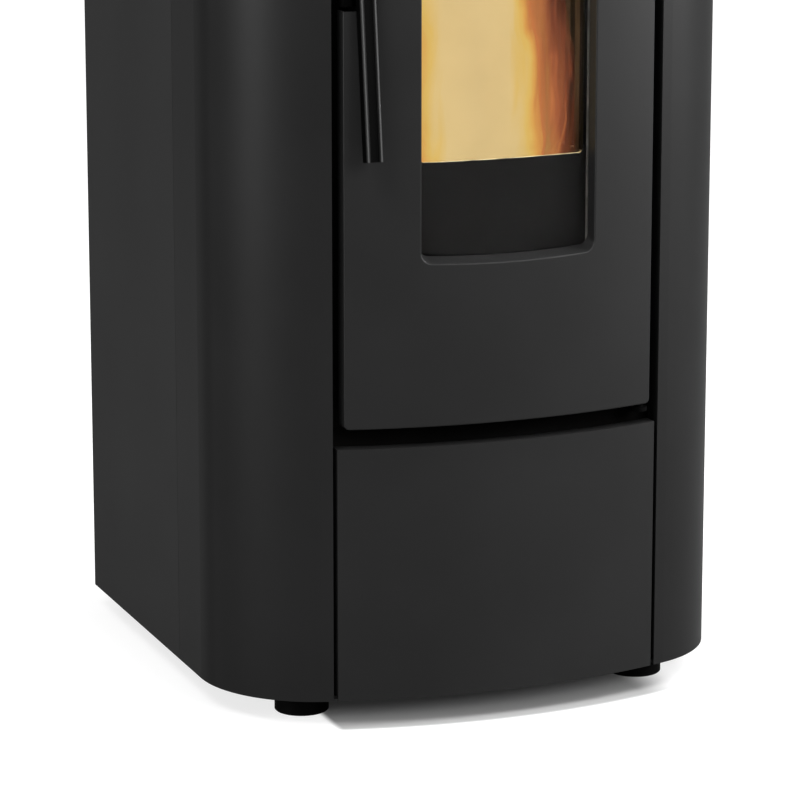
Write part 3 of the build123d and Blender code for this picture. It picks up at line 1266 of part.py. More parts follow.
def top_cover():
    """Pressed top: rounded edge, mouth of the hopper and seat of the control panel."""
    cover = plan_solid(Z_TOP, Z_COVER)
    rim = cover.edges().group_by(Axis.Z)[-1]
    cover = fillet(rim, TOP_EDGE_R)
    cover -= plan_solid(Z_TOP - 1, Z_COVER - TOP_T, TOP_T, TOP_T)
    y0, y1 = lid_mouth()
    x = LID_W / 2 - LID_LAP
    cover -= block(-x, x, y0, y1, Z_TOP, Z_COVER + 1)
    cover -= bezel_place() * Box(BEZEL_W - 4 * SHEET, BEZEL_D - 4 * SHEET, TOP_H)
    return cover


def lid_hinge_y():
    return LID_Y + LID_D + LID_BARREL_R + FIT


def lid_hinge_z():
    return Z_COVER + LID_BARREL_R + FIT


def hopper_lid():
    """Lid plate with rounded corners, a pull at the front and a barrel half at the back."""
    z0 = Z_COVER + LID_SEAL_T + FIT
    middle = Pos(0, LID_Y + LID_D / 2, z0)
    plate = extrude(middle * RectangleRounded(LID_W, LID_D, LID_CORNER_R), LID_T, dir=(0, 0, 1))
    plate = fillet(plate.edges().group_by(Axis.Z)[-1], LID_EDGE_R)
    pull = block(-PULL_W / 2, PULL_W / 2, LID_Y + PULL_D, LID_Y + 2 * PULL_D,
                 z0 + LID_T / 2, z0 + LID_T + PULL_H)
    pull = fillet(pull.edges().group_by(Axis.Z)[-1], PULL_EDGE_R)
    lid = plate + pull
    for side in (-1, 1):
        x = side * LID_BARREL_X
        half = LID_BARREL_L / 2
        barrel = rod_x(x - half, x + half, lid_hinge_y(), lid_hinge_z(), LID_BARREL_R)
        leaf = block(x - half, x + half, LID_Y + LID_D - PAST, lid_hinge_y(), z0, z0 + LID_T)
        lid += barrel + leaf
        lid -= rod_x(x - LID_BARREL_L, x + LID_BARREL_L, lid_hinge_y(), lid_hinge_z(), LID_PIN_R + RUN)
    return lid


def lid_seal():
    """Flat seal under the lid, round the mouth of the hopper."""
    x = LID_W / 2
    z1 = Z_COVER + LID_SEAL_T + FIT
    w = LID_SEAL_W
    ring = block(1 - x, x - 1, LID_Y + 1, LID_Y + LID_D - 1, Z_COVER + FIT, z1)
    return ring - block(1 - x + w, x - 1 - w, LID_Y + 1 + w, LID_Y + LID_D - 1 - w, Z_COVER, z1 + 1)


def lid_hinges():
    """Two pins in the ears that stand on the top cover."""
    hinges = []
    y, z = lid_hinge_y(), lid_hinge_z()
    for side in (-1, 1):
        x = side * LID_BARREL_X
        half = LID_BARREL_L / 2 + FIT
        hinge = rod_x(x - half - EAR_T, x + half + EAR_T, y, z, LID_PIN_R)
        for x0 in (x - half - EAR_T, x + half):
            hinge += rod_x(x0, x0 + EAR_T, y, z, LID_BARREL_R)
            hinge += block(x0, x0 + EAR_T, y - LID_BARREL_R, y + LID_BARREL_R, Z_COVER, z)
        hinges.append(hinge)
    return group(hinges)


def key_places():
    return {
        "key_power": (-KEY_X - KEY_PITCH_X / 2, 0),
        "key_menu": (KEY_X + KEY_PITCH_X / 2, 0),
        "key_up": (KEY_X - KEY_PITCH_X / 2 + KEY_SHIFT, KEY_PITCH_Y / 2),
        "key_down": (KEY_X - KEY_PITCH_X / 2 + KEY_SHIFT, -KEY_PITCH_Y / 2),
    }


def control_bezel():
    """Frame of the control panel, let into the top cover."""
    place = bezel_place()
    bezel = place * extrude(RectangleRounded(BEZEL_W, BEZEL_D, BEZEL_CORNER_R), BEZEL_H)
    bezel = fillet(bezel.edges().group_by(Axis.Z)[-1], BEZEL_EDGE_R)
    wide, deep = BEZEL_W - 4 * SHEET - 2 * FIT, BEZEL_D - 4 * SHEET - 2 * FIT
    body = Pos(0, 0, -BEZEL_SINK / 2) * Box(wide, deep, BEZEL_SINK)
    bezel += place * body
    bezel -= place * Pos(-KEY_PITCH_X / 2, 0, BEZEL_H) * Box(SCREEN_W, SCREEN_D, 2 * SCREEN_T)
    for x, y in key_places().values():
        bezel -= place * Pos(x, y, BEZEL_H) * Cylinder(KEY_R + FIT, 2 * BEZEL_H)
    return bezel


def control_screen():
    return bezel_place() * Pos(-KEY_PITCH_X / 2, 0, BEZEL_H - SCREEN_T / 2) * Box(
        SCREEN_W - 2 * RUN, SCREEN_D - 2 * RUN, SCREEN_T)


def key(x, y):
    """Round key, proud of the panel and free to be pressed."""
    low = KEY_TRAVEL + FIT
    high = BEZEL_H + KEY_PROUD
    cap = Pos(x, y, (low + high) / 2) * Cylinder(KEY_R, high - low)
    cap = fillet(cap.edges().group_by(Axis.Z)[-1], KEY_PROUD / 2)
    return bezel_place() * cap


# --- Controls and back -------------------------------------------------------------------------------------
def control_box():
    """Housing of the control board, on the inside of the left panel."""
    x0 = -CASING_W / 2 + SHEET
    box = block(x0, x0 + BOX_W, BOX_Y, BOX_Y + BOX_D, BOX_Z, BOX_Z + BOX_H)
    box = fillet(box.edges().filter_by(Axis.Z), BOX_EDGE_R)
    for i in range(BOX_SLOTS):
        y = BOX_Y + (i + 1) * BOX_D / (BOX_SLOTS + 1)
        box -= block(x0 + BOX_W - BOX_SLOT_T, x0 + BOX_W + 1, y - BOX_SLOT_W / 2, y + BOX_SLOT_W / 2,
                     BOX_Z + BOX_H / 4, BOX_Z + BOX_H - BOX_H / 4)
    return box


def flanged_body(z, wide, high, depth):
    """Body through the rear panel with a flange on it."""
    w = wide / 2 - FIT
    h = high / 2 - FIT
    over = FLANGE_T
    body = block(SOCKET_X - w, SOCKET_X + w, CASING_D - depth, CASING_D, z - h, z + h)
    w += over
    h += over
    return body + block(SOCKET_X - w, SOCKET_X + w, CASING_D, CASING_D + over, z - h, z + h)


def mains_inlet():
    """Inlet socket: body, flange and three contacts in its recess."""
    w = SOCKET_W / 4 + ROCKER_PIN_R / 2
    h = SOCKET_H / 3
    back = CASING_D - SOCKET_DEPTH
    inlet = flanged_body(SOCKET_Z, SOCKET_W, SOCKET_H, SOCKET_DEPTH + 4 * SHEET)
    inlet -= block(SOCKET_X - w, SOCKET_X + w, back, CASING_D + PAST, SOCKET_Z - h, SOCKET_Z + h)
    for x in (-CONTACT_PITCH, 0, CONTACT_PITCH):
        contact = block(x - SHEET / 2, x + SHEET / 2, back - 1, CASING_D - 2 * SHEET, -SHEET, SHEET)
        inlet += Pos(SOCKET_X, 0, SOCKET_Z) * contact
    return inlet


def rocker_pin(r, over=0.0):
    half = SWITCH_W / 2 - FIT - SWITCH_WALL / 3 + over
    return rod_x(SOCKET_X - half, SOCKET_X + half, CASING_D - ROCKER_SINK, SWITCH_Z, r)


def switch_frame():
    """Frame of the power switch, with the hollow that the rocker turns in and its pin."""
    w = SWITCH_W / 2 - FIT - SWITCH_WALL
    h = SWITCH_H / 2 - FIT - FLANGE_T
    frame = flanged_body(SWITCH_Z, SWITCH_W, SWITCH_H, SWITCH_DEPTH)
    frame -= block(SOCKET_X - w, SOCKET_X + w, CASING_D - SWITCH_DEPTH + 2 * FLANGE_T, CASING_D + PAST,
                   SWITCH_Z - h, SWITCH_Z + h)
    return frame + rocker_pin(ROCKER_PIN_R)


def power_inlet():
    """Inlet socket and the frame of the power switch above it."""
    return group([mains_inlet(), switch_frame()])


def power_switch():
    """Rocker on its cross pin: a segment of a drum with a hollow face, tilted to its on side."""
    w = SWITCH_W / 2 - 2 * FIT - SWITCH_WALL
    r = SWITCH_H / 2 - 3 * FIT - FLANGE_T
    y = CASING_D - ROCKER_SINK
    drum = Rot(0, 90, 0) * Cylinder(r, 2 * w)
    drum &= block(-w, w, -r / 2, r, -r, r)
    drum -= rod_x(-w - 1, w + 1, ROCKER_SINK + ROCKER_R + FLANGE_T, 0, ROCKER_R)
    rocker = Pos(SOCKET_X, y, SWITCH_Z) * Rot(ROCKER_TILT, 0, 0) * drum
    return rocker - rocker_pin(ROCKER_PIN_R + RUN, PAST)


def reset_thermostat():
    """Body of the safety thermostat with its threaded collar."""
    body = rod_y(RESET_X, CASING_D - RESET_DEPTH, CASING_D - SHEET, SOCKET_Z, RESET_R + LOOM_R)
    body += rod_y(RESET_X, CASING_D - SHEET, CASING_D + RESET_COLLAR, SOCKET_Z, RESET_R - FIT)
    return body - rod_y(RESET_X, CASING_D - RESET_BORE, CASING_D + PAST, SOCKET_Z, RESET_KEY_R + 2 * RUN)


def reset_button():
    button = rod_y(RESET_X, CASING_D - RESET_BUTTON, CASING_D + RESET_BUTTON, SOCKET_Z, RESET_KEY_R)
    return fillet(button.edges().group_by(Axis.Y)[-1], RESET_EDGE_R)


def loom(points):
    path = FilletPolyline(*points, radius=LOOM_BEND)
    first = Vector(*points[0])
    return sweep(Plane(points[0], z_dir=Vector(*points[1]) - first) * Circle(LOOM_R), path=path)


def wiring_loom():
    """Bundled leads from the board to the control panel, the auger's motor and the blowers."""
    x = -CASING_W / 2 + SHEET + BOX_W / 2
    far_x = x + LOOM_CROSS
    top = BOX_Z + BOX_H
    y = BOX_Y + BOX_D - LOOM_EXIT
    rise = Z_TOP - LOOM_BEND - 2 * LOOM_R
    mark = auger_place() * Pos(0, 0, -GEARBOX_T - MOTOR_L / 2)
    motor = mark.position
    runs = [
        [(x, y, top), (x, y, rise), (x, BEZEL_Y, rise), (-LOOM_TOP_X, BEZEL_Y, rise),
         (-LOOM_TOP_X, BEZEL_Y, Z_COVER - BEZEL_SINK)],
        [(x, y - LOOM_EXIT, top), (x, y - LOOM_EXIT, motor.Z), (far_x, y - LOOM_EXIT, motor.Z),
         (far_x, motor.Y, motor.Z), (-MOTOR_R, motor.Y, motor.Z)],
    ]
    return group([loom(points) for points in runs])


def write(pieces):
    """Move every piece so that the origin is under the middle of the stove, and write it."""
    os.makedirs("parts", exist_ok=True)
    front = pieces["door_handle"].bounding_box().min.Y
    back = CASING_D + FLUE_STUB
    shift = Pos(0, -(front + back) / 2, 0)
    for name, piece in pieces.items():
        moved = shift * piece
        moved.label = name
        export_step(moved, f"parts/{name}.step")
    print("front of the bow at Y", round(-(front + back) / 2, 4))


PIECES = {
    "base_plate": base_plate(),
    "chassis_frame": chassis_frame(),
    "rear_panel": rear_panel(),
    "side_panel_left": side_panel(-1),
    "side_panel_right": side_panel(1),
    "front_column_left": front_column(-1),
    "front_column_right": front_column(1),
    "lower_front_panel": lower_front_panel(),
    "upper_front_panel": upper_front_panel(),
    "casing_screws": casing_screws(),
    "levelling_feet": levelling_feet(),
    "top_cover": top_cover(),
    "hopper_lid": hopper_lid(),
    "lid_seal": lid_seal(),
    "lid_hinges": lid_hinges(),
    "control_bezel": control_bezel(),
    "control_screen": control_screen(),
    "door_panel": door_panel(),
    "door_frame": door_frame(),
    "door_glass": door_glass(),
    "glass_gasket": glass_gasket(),
    "door_rope_seal": door_rope_seal(),
    "panel_spacers": panel_spacers(),
    "hinge_brackets": hinge_brackets(),
    "door_handle": door_handle(),
    "handle_bracket": handle_bracket(),
    "handle_pin": handle_pin(),
    "latch_keeper": latch_keeper(),
    "firebox_body": firebox_body(),
    "fire_chamber_plates": fire_chamber_plates(),
    "burn_pot_holder": burn_pot_holder(),
    "burn_pot": burn_pot(),
    "ash_pan": ash_pan(),
    "heat_exchanger_tubes": heat_exchanger_tubes(),
    "igniter": igniter(),
    "pellet_hopper": hopper(),
    "hopper_guard": hopper_guard(),
    "auger_tube": auger_tube(),
    "auger_screw": auger_screw(),
    "auger_gearmotor": auger_gearmotor(),
    "pellet_chute": pellet_chute(),
    "smoke_duct": smoke_duct(),
    "exhaust_housing": exhaust_housing(),
    "exhaust_impeller": exhaust_impeller(),
    "blower_motors": blower_motors(),
    "flue_outlet": flue_outlet(),
    "combustion_air_inlet": combustion_air_inlet(),
    "room_fan_housing": room_fan_housing(),
    "room_impeller": room_impeller(),
    "warm_air_duct": warm_air_duct(),
    "control_box": control_box(),
    "wiring_loom": wiring_loom(),
    "power_inlet": power_inlet(),
    "power_switch": power_switch(),
    "reset_thermostat": reset_thermostat(),
    "reset_button": reset_button(),
}
PIECES.update({name: key(x, y) for name, (x, y) in key_places().items()})
write(PIECES)
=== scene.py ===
import bpy
import random
from math import cos, pi, radians, sin, sqrt
from mathutils import Matrix, Vector


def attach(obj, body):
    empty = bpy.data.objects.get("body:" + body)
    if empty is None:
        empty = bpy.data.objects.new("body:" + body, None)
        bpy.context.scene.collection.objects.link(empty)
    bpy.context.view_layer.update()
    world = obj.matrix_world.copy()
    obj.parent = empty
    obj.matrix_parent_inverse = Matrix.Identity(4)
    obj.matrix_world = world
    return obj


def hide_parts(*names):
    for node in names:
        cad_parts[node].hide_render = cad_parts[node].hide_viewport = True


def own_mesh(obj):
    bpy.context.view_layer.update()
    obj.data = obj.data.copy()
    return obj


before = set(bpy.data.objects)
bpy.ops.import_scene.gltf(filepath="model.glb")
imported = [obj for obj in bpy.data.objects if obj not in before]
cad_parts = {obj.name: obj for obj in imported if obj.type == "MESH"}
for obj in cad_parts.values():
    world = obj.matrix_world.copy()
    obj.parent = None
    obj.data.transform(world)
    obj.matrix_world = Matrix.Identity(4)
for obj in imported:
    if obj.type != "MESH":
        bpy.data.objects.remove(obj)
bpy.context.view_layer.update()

# --- Base plate and frame -------------------------------------------------------------------------
# The frame is folded from galvanised sheet and spot welded. The base plate under it is painted black,
# carries the firebox and the fans, and shows only as a dark line beside the feet.


def ramp_of(tree, stops):
    """A colour ramp with these stops, each a position and a colour."""
    ramp = tree.nodes.new("ShaderNodeValToRGB")
    while len(ramp.color_ramp.elements) < len(stops):
        ramp.color_ramp.elements.new(0.5)
    for element, (position, colour) in zip(ramp.color_ramp.elements, stops):
        element.position = position
        element.color = (*colour, 1)
    return ramp


def finish(name, dark, light, rough, patches, grain, depth, metallic=0.0, gloss=0.5):
    """A finish whose colour wanders in wide patches and whose surface has a fine grain."""
    material = bpy.data.materials.new(name)
    material.use_nodes = True
    nodes, links = material.node_tree.nodes, material.node_tree.links
    shader = nodes["Principled BSDF"]
    shader.inputs["Metallic"].default_value = metallic
    shader.inputs["Specular IOR Level"].default_value = gloss
    place = nodes.new("ShaderNodeTexCoord")
    wide = nodes.new("ShaderNodeTexNoise")
    wide.inputs["Scale"].default_value = patches
    wide.inputs["Detail"].default_value = 4
    fine = nodes.new("ShaderNodeTexNoise")
    fine.inputs["Scale"].default_value = grain
    fine.inputs["Detail"].default_value = 3
    for noise in (wide, fine):
        links.new(place.outputs["Object"], noise.inputs["Vector"])
    tint = ramp_of(material.node_tree, [(0.3, dark), (0.7, light)])
    tint.name = "tint"
    links.new(wide.outputs["Fac"], tint.inputs["Fac"])
    links.new(tint.outputs["Color"], shader.inputs["Base Color"])
    sheen = nodes.new("ShaderNodeMapRange")
    sheen.inputs["From Min"].default_value = 0.3
    sheen.inputs["From Max"].default_value = 0.7
    sheen.inputs["To Min"].default_value = rough[0]
    sheen.inputs["To Max"].default_value = rough[1]
    links.new(fine.outputs["Fac"], sheen.inputs["Value"])
    links.new(sheen.outputs["Result"], shader.inputs["Roughness"])
    bump = nodes.new("ShaderNodeBump")
    bump.name = "bump"
    bump.inputs["Strength"].default_value = 1
    bump.inputs["Distance"].default_value = depth
    links.new(fine.outputs["Fac"], bump.inputs["Height"])
    links.new(bump.outputs["Normal"], shader.inputs["Normal"])
    return material


def dress(material, *names):
    """Put the finish on every face of these pieces of the frame."""
    for name in names:
        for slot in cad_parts[name].material_slots:
            slot.material = material


def spangle(material, scale, dark, light):
    """Crystals of zinc: each cell of the coat has its own grey and its own sheen."""
    nodes, links = material.node_tree.nodes, material.node_tree.links
    cells = nodes.new("ShaderNodeTexVoronoi")
    cells.inputs["Scale"].default_value = scale
    links.new(nodes["Texture Coordinate"].outputs["Object"], cells.inputs["Vector"])
    greys = ramp_of(material.node_tree, [(0.0, dark), (1.0, light)])
    links.new(cells.outputs["Color"], greys.inputs["Fac"])
    links.new(greys.outputs["Color"], nodes["Principled BSDF"].inputs["Base Color"])


zinc = finish("galvanised sheet", (0.36, 0.37, 0.38), (0.55, 0.56, 0.57), (0.32, 0.5), 30, 260, 0.00003, 1.0)
spangle(zinc, 140, (0.34, 0.35, 0.36), (0.56, 0.57, 0.58))
dress(zinc, "chassis_frame")
base_black = finish("base plate black", (0.002, 0.002, 0.002), (0.004, 0.004, 0.004), (0.7, 0.9), 12, 900,
                    0.00005,
                    0.0, 0.1)
dress(base_black, "base_plate")

# --- Levelling feet -------------------------------------------------------------------------------
# Four round feet of moulded black nylon on threaded studs through the base plate. They are turned by
# hand to level the stove, and their rims pick up a little dust.
nylon = finish("moulded black nylon", (0.0005, 0.0005, 0.0005), (0.0015, 0.0015, 0.0015), (0.5, 0.7), 40,
               1400,
               0.00004, 0.0, 0.03)
dress(nylon, "levelling_feet")

# --- Firebox --------------------------------------------------------------------------------------
# Welded from 4 mm steel plate and sprayed with flat heat-proof paint, slightly brown in patches. The ash pan
# under the burn pot has the same paint, worn pale by ash.


def reckon(tree, kind, *values):
    """One step of arithmetic in a material. A value is a number or another step's result."""
    step = tree.nodes.new("ShaderNodeMath")
    step.operation = kind
    for socket, value in zip(step.inputs, values):
        if isinstance(value, (int, float)):
            socket.default_value = value
        else:
            tree.links.new(value, socket)
    return step.outputs["Value"]


def place_in(tree, kind="Object"):
    """X, Y and Z of a point, in the frame or across its surface."""
    known = tree.nodes.get("Texture Coordinate") or tree.nodes.new("ShaderNodeTexCoord")
    split = tree.nodes.new("ShaderNodeSeparateXYZ")
    tree.links.new(known.outputs[kind], split.inputs["Vector"])
    return split.outputs


def settle_ash_and_reflection(material, colour, cover, middle=1.0, reach=1.0):
    """Pale ash on whatever faces up, in drifts, at heights within this reach of the middle one. On the door
    frame the marks are also a painted reflection of the fire.
    """
    tree = material.node_tree
    nodes, links = tree.nodes, tree.links
    shader = nodes["Principled BSDF"]
    under = shader.inputs["Base Color"].links[0].from_socket
    facing = nodes.new("ShaderNodeNewGeometry")
    split = nodes.new("ShaderNodeSeparateXYZ")
    links.new(facing.outputs["True Normal"], split.inputs["Vector"])
    level = nodes.new("ShaderNodeMapRange")
    level.inputs["From Min"].default_value = 0.55
    level.inputs["From Max"].default_value = 0.95
    level.inputs["To Max"].default_value = cover
    links.new(split.outputs["Z"], level.inputs["Value"])
    drift = nodes.new("ShaderNodeTexNoise")
    drift.inputs["Scale"].default_value = 45
    drift.inputs["Detail"].default_value = 5
    links.new(nodes["Texture Coordinate"].outputs["Object"], drift.inputs["Vector"])
    patch = nodes.new("ShaderNodeMapRange")
    patch.inputs["From Min"].default_value = 0.3
    patch.inputs["From Max"].default_value = 0.55
    links.new(drift.outputs["Fac"], patch.inputs["Value"])
    near = reckon(tree, "COMPARE", place_in(tree)["Z"], middle, reach)
    drifts = reckon(tree, "MULTIPLY", level.outputs["Result"], patch.outputs["Result"])
    dusted = nodes.new("ShaderNodeMix")
    dusted.data_type = "RGBA"
    links.new(reckon(tree, "MULTIPLY", drifts, near), dusted.inputs["Factor"])
    links.new(under, dusted.inputs["A"])
    dusted.inputs["B"].default_value = (*colour, 1)
    links.new(dusted.outputs["Result"], shader.inputs["Base Color"])


stove_paint = finish("heat-proof paint", (0.0015, 0.0015, 0.0015), (0.004, 0.0037, 0.0035), (0.75, 0.9), 9,
                     700,
                     0.00008, 0.0, 0.06)
dress(stove_paint, "firebox_body")
ashy = finish("ash pan paint", (0.02, 0.019, 0.018), (0.11, 0.105, 0.10), (0.7, 0.9), 22, 500, 0.00015)
settle_ash_and_reflection(ashy, (0.34, 0.32, 0.30), 0.9)
dress(ashy, "ash_pan")

# --- Lining, burn pot and holder ------------------------------------------------------------------
# Grey iron castings with upright ribs and a sand-cast skin. Soot has darkened them, ash lies on their
# ledges, and the fire has burnt the soot off again near the pot, where the iron shows a dull grey.
iron = finish("cast iron", (0.012, 0.011, 0.010), (0.036, 0.032, 0.029), (0.6, 0.85), 14, 420, 0.0003, 0.0,
              0.3)
settle_ash_and_reflection(iron, (0.30, 0.28, 0.25), 0.85)
dress(iron, "fire_chamber_plates", "burn_pot_holder")
pot_iron = finish("burn pot iron", (0.03, 0.026, 0.024), (0.11, 0.095, 0.085), (0.55, 0.85), 26, 380, 0.0003,
                  0.2)
settle_ash_and_reflection(pot_iron, (0.32, 0.29, 0.26), 0.8)
dress(pot_iron, "burn_pot")

# --- Fire -----------------------------------------------------------------------------------------
# A lively pellet flame: one broad pale body over the pot, and thin wisps beside it that redden as they
# rise. Each is a closed skin that gives its own light and thins out to nothing at its edges.
FIRE_X = 0.006
FIRE_Z = 0.62
FIRE_LEAN = 0.07
FIRE_COLOURS = [
    (0.00, (0.76, 0.58, 0.28)),
    (0.38, (0.79, 0.60, 0.28)),
    (0.53, (0.79, 0.54, 0.15)),
    (0.66, (0.76, 0.40, 0.10)),
    (0.77, (0.58, 0.20, 0.07)),
    (0.90, (0.36, 0.10, 0.05)),
    (1.00, (0.14, 0.05, 0.04)),
]
WISPS = [
    # middle x, y, z; half width, half depth, half height; lean in degrees; turn of its twist
    (0.006, -0.138, 0.668, 0.130, 0.040, 0.184, -2, 4),
    (0.100, -0.122, 0.640, 0.034, 0.010, 0.190, -5, 14),
    (0.114, -0.100, 0.640, 0.028, 0.008, 0.170, 3, -10),
    (-0.060, -0.110, 0.610, 0.034, 0.012, 0.112, 6, 20),
]


def flame_light(name, wide, high, faint, hold):
    """Colour and thickness by how far a point is from the pale core, broken up by upright wisps. Its skin
    thins towards both tips and its left and right sides, and the more hold it has, the nearer to them."""
    material = bpy.data.materials.new(name)
    material.use_nodes = True
    tree = material.node_tree
    nodes, links = tree.nodes, tree.links
    shader = nodes["Principled BSDF"]
    shader.inputs["Base Color"].default_value = (0.02, 0.008, 0.003, 1)
    shader.inputs["Roughness"].default_value = 1
    shader.inputs["Specular IOR Level"].default_value = 0
    place = place_in(tree)
    rise = reckon(tree, "SUBTRACT", place["Z"], FIRE_Z)
    lean = reckon(tree, "MULTIPLY_ADD", rise, FIRE_LEAN, place["X"])
    across = reckon(tree, "DIVIDE", reckon(tree, "SUBTRACT", lean, FIRE_X), wide)
    up = reckon(tree, "DIVIDE", rise, high)
    squares = [reckon(tree, "MULTIPLY", part, part) for part in (across, up)]
    away = reckon(tree, "SQRT", reckon(tree, "ADD", *squares))
    wisp_place = nodes.new("ShaderNodeMapping")
    wisp_place.inputs["Scale"].default_value = (46, 20, 6)
    links.new(nodes["Texture Coordinate"].outputs["Object"], wisp_place.inputs["Vector"])
    wisp = nodes.new("ShaderNodeTexNoise")
    wisp.inputs["Scale"].default_value = 1
    wisp.inputs["Detail"].default_value = 3
    wisp.inputs["Distortion"].default_value = 0.8
    links.new(wisp_place.outputs["Vector"], wisp.inputs["Vector"])
    swing = reckon(tree, "SUBTRACT", wisp.outputs["Fac"], 0.5)
    reach = reckon(tree, "MULTIPLY_ADD", away, 0.95, 0.02)
    cool = reckon(tree, "MULTIPLY_ADD", swing, reach, away)
    colours = ramp_of(tree, FIRE_COLOURS)
    links.new(cool, colours.inputs["Fac"])
    links.new(colours.outputs["Color"], shader.inputs["Emission Color"])
    shader.inputs["Emission Strength"].default_value = 0.94
    thin = nodes.new("ShaderNodeMapRange")
    thin.interpolation_type = "SMOOTHSTEP"
    thin.inputs["From Min"].default_value = 0.72
    thin.inputs["From Max"].default_value = 1.08
    thin.inputs["To Min"].default_value = faint
    thin.inputs["To Max"].default_value = 0
    links.new(cool, thin.inputs["Value"])
    skin = place_in(tree, "UV")
    round_it = reckon(tree, "SINE", reckon(tree, "MULTIPLY", skin["X"], 2 * pi))
    along = reckon(tree, "SINE", reckon(tree, "MULTIPLY", skin["Y"], pi))
    tips = reckon(tree, "MINIMUM", reckon(tree, "MULTIPLY", along, 1.5), 1)
    squared = reckon(tree, "MULTIPLY", round_it, round_it)
    sides = reckon(tree, "MINIMUM", reckon(tree, "MULTIPLY", squared, hold), 1)
    faded = reckon(tree, "MULTIPLY", reckon(tree, "MULTIPLY", thin.outputs["Result"], tips), sides)
    links.new(faded, shader.inputs["Alpha"])
    return material


def fresh():
    """Leave edit mode and let go of everything, so that the next tool acts on new work alone."""
    if bpy.context.object and bpy.context.object.mode != "OBJECT":
        bpy.ops.object.mode_set(mode="OBJECT")
    bpy.ops.object.select_all(action="DESELECT")


def use(name, kind, **settings):
    """Add a modifier to the piece in hand and apply it."""
    modifier = bpy.context.object.modifiers.new(name, kind)
    for key, value in settings.items():
        setattr(modifier, key, value)
    bpy.ops.object.modifier_apply(modifier=name)


def seat(name, material, body):
    """Name the piece in hand, put its place into its mesh, give it its finish and hang it on a body."""
    piece = bpy.context.object
    piece.name = name
    piece.data.name = name
    bpy.ops.object.transform_apply(location=True, rotation=True, scale=True)
    piece.data.materials.clear()
    piece.data.materials.append(material)
    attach(piece, body)
    return piece


main_fire = flame_light("pellet flame", 0.0955, 0.90, 1.0, 1.7)
red_wisp = flame_light("red wisp", 0.132, 0.60, 0.42, 1.0)
flicker = bpy.data.textures.new("flicker", "CLOUDS")
flicker.noise_scale = 0.06
for number, (x, y, z, wide, deep, high, lean, turn) in enumerate(WISPS):
    broad = number == 0
    fresh()
    bpy.ops.mesh.primitive_uv_sphere_add(segments=48, ring_count=40, radius=1)
    bpy.ops.object.mode_set(mode="EDIT")
    bpy.ops.transform.resize(value=(wide, deep, high))
    bpy.ops.object.mode_set(mode="OBJECT")
    use("thin", "SIMPLE_DEFORM", deform_method="TAPER", deform_axis="Z", factor=-0.35 if broad else -1.1)
    use("twist", "SIMPLE_DEFORM", deform_method="TWIST", deform_axis="Z", angle=radians(turn))
    use("flicker", "DISPLACE", texture=flicker, texture_coords="GLOBAL", mid_level=0.5,
        strength=0.030 if broad else 0.012)
    tongue = bpy.context.object
    tongue.rotation_euler = (0, radians(lean), 0)
    tongue.location = (x, y, z)
    bpy.ops.object.shade_smooth()
    seat(f"flame_{number + 1}", main_fire if broad else red_wisp, "pot")
    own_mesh(tongue)

# --- Pellets --------------------------------------------------------------------------------------
# Pressed wood pellets, 6 mm across and 10 to 20 mm long. Those in the hopper are fresh and tan; those
# in the burn pot glow through a grey crust of ash.
PELLET_R, PELLET_L, PELLET_ROUND = 0.003, 0.015, 0.0006
POT_MIDDLE = Vector((0, -0.1074, 0))
BED_R, BED_Z, BED_RISE = 0.042, 0.434, 0.007
STORE_X, STORE_FRONT, STORE_BACK, STORE_TOP = 0.138, 0.040, 0.208, 0.935
STORE_COLUMNS, STORE_ROWS = 26, 15
wood = finish("pressed wood", (0.30, 0.17, 0.075), (0.50, 0.33, 0.17), (0.6, 0.85), 160, 1500, 0.0002)
ember = finish("glowing pellets", (0.02, 0.015, 0.012), (0.16, 0.13, 0.11), (0.8, 0.95), 120, 900, 0.0003)
ember_nodes, ember_links = ember.node_tree.nodes, ember.node_tree.links
heat = ember_nodes.new("ShaderNodeTexNoise")
heat.inputs["Scale"].default_value = 70
ember_links.new(ember_nodes["Texture Coordinate"].outputs["Object"], heat.inputs["Vector"])
glow = ramp_of(ember.node_tree, [(0.40, (0, 0, 0)), (0.62, (1.0, 0.32, 0.06))])
ember_links.new(heat.outputs["Fac"], glow.inputs["Fac"])
ember_links.new(glow.outputs["Color"], ember_nodes["Principled BSDF"].inputs["Emission Color"])
ember_nodes["Principled BSDF"].inputs["Emission Strength"].default_value = 1.2


def one_pellet():
    """A pellet along Z at the origin, its ends slightly rounded."""
    fresh()
    bpy.ops.mesh.primitive_cylinder_add(vertices=8, radius=PELLET_R, depth=PELLET_L)
    use("ends", "BEVEL", width=PELLET_ROUND, segments=1, limit_method="ANGLE", angle_limit=radians(60))
    return bpy.context.object


def heap(name, material, body, places):
    """Copies of one pellet at these places, joined into one piece. A place has a point,
    a turn, a tip and a share of the full length."""
    first = one_pellet()
    copies = []
    for point, turn, tip, share in places:
        copy = first.copy()
        copy.data = first.data.copy()
        bpy.context.scene.collection.objects.link(copy)
        turned = Matrix.Rotation(turn, 4, "Z") @ Matrix.Rotation(tip, 4, "X")
        copy.data.transform(Matrix.Translation(point) @ turned @ Matrix.Scale(share, 4, (0, 0, 1)))
        copies.append(copy)
    bpy.data.objects.remove(first)
    fresh()
    for copy in copies:
        copy.select_set(True)
    bpy.context.view_layer.objects.active = copies[0]
    bpy.ops.object.join()
    bpy.ops.object.shade_smooth_by_angle(angle=radians(40))
    return seat(name, material, body)


chance = random.Random(7)
bed = []
for layer in range(4):
    for _ in range(46):
        out = BED_R * chance.random() ** 0.5
        a = chance.uniform(0, 2 * pi)
        z = BED_Z + BED_RISE * layer + 0.006 * chance.random()
        point = POT_MIDDLE + Vector((out * cos(a), out * sin(a), z))
        bed.append((point, chance.uniform(0, pi), chance.uniform(70, 100) * pi / 180,
                    chance.uniform(0.5, 1.0)))
heap("embers", ember, "pot", bed)

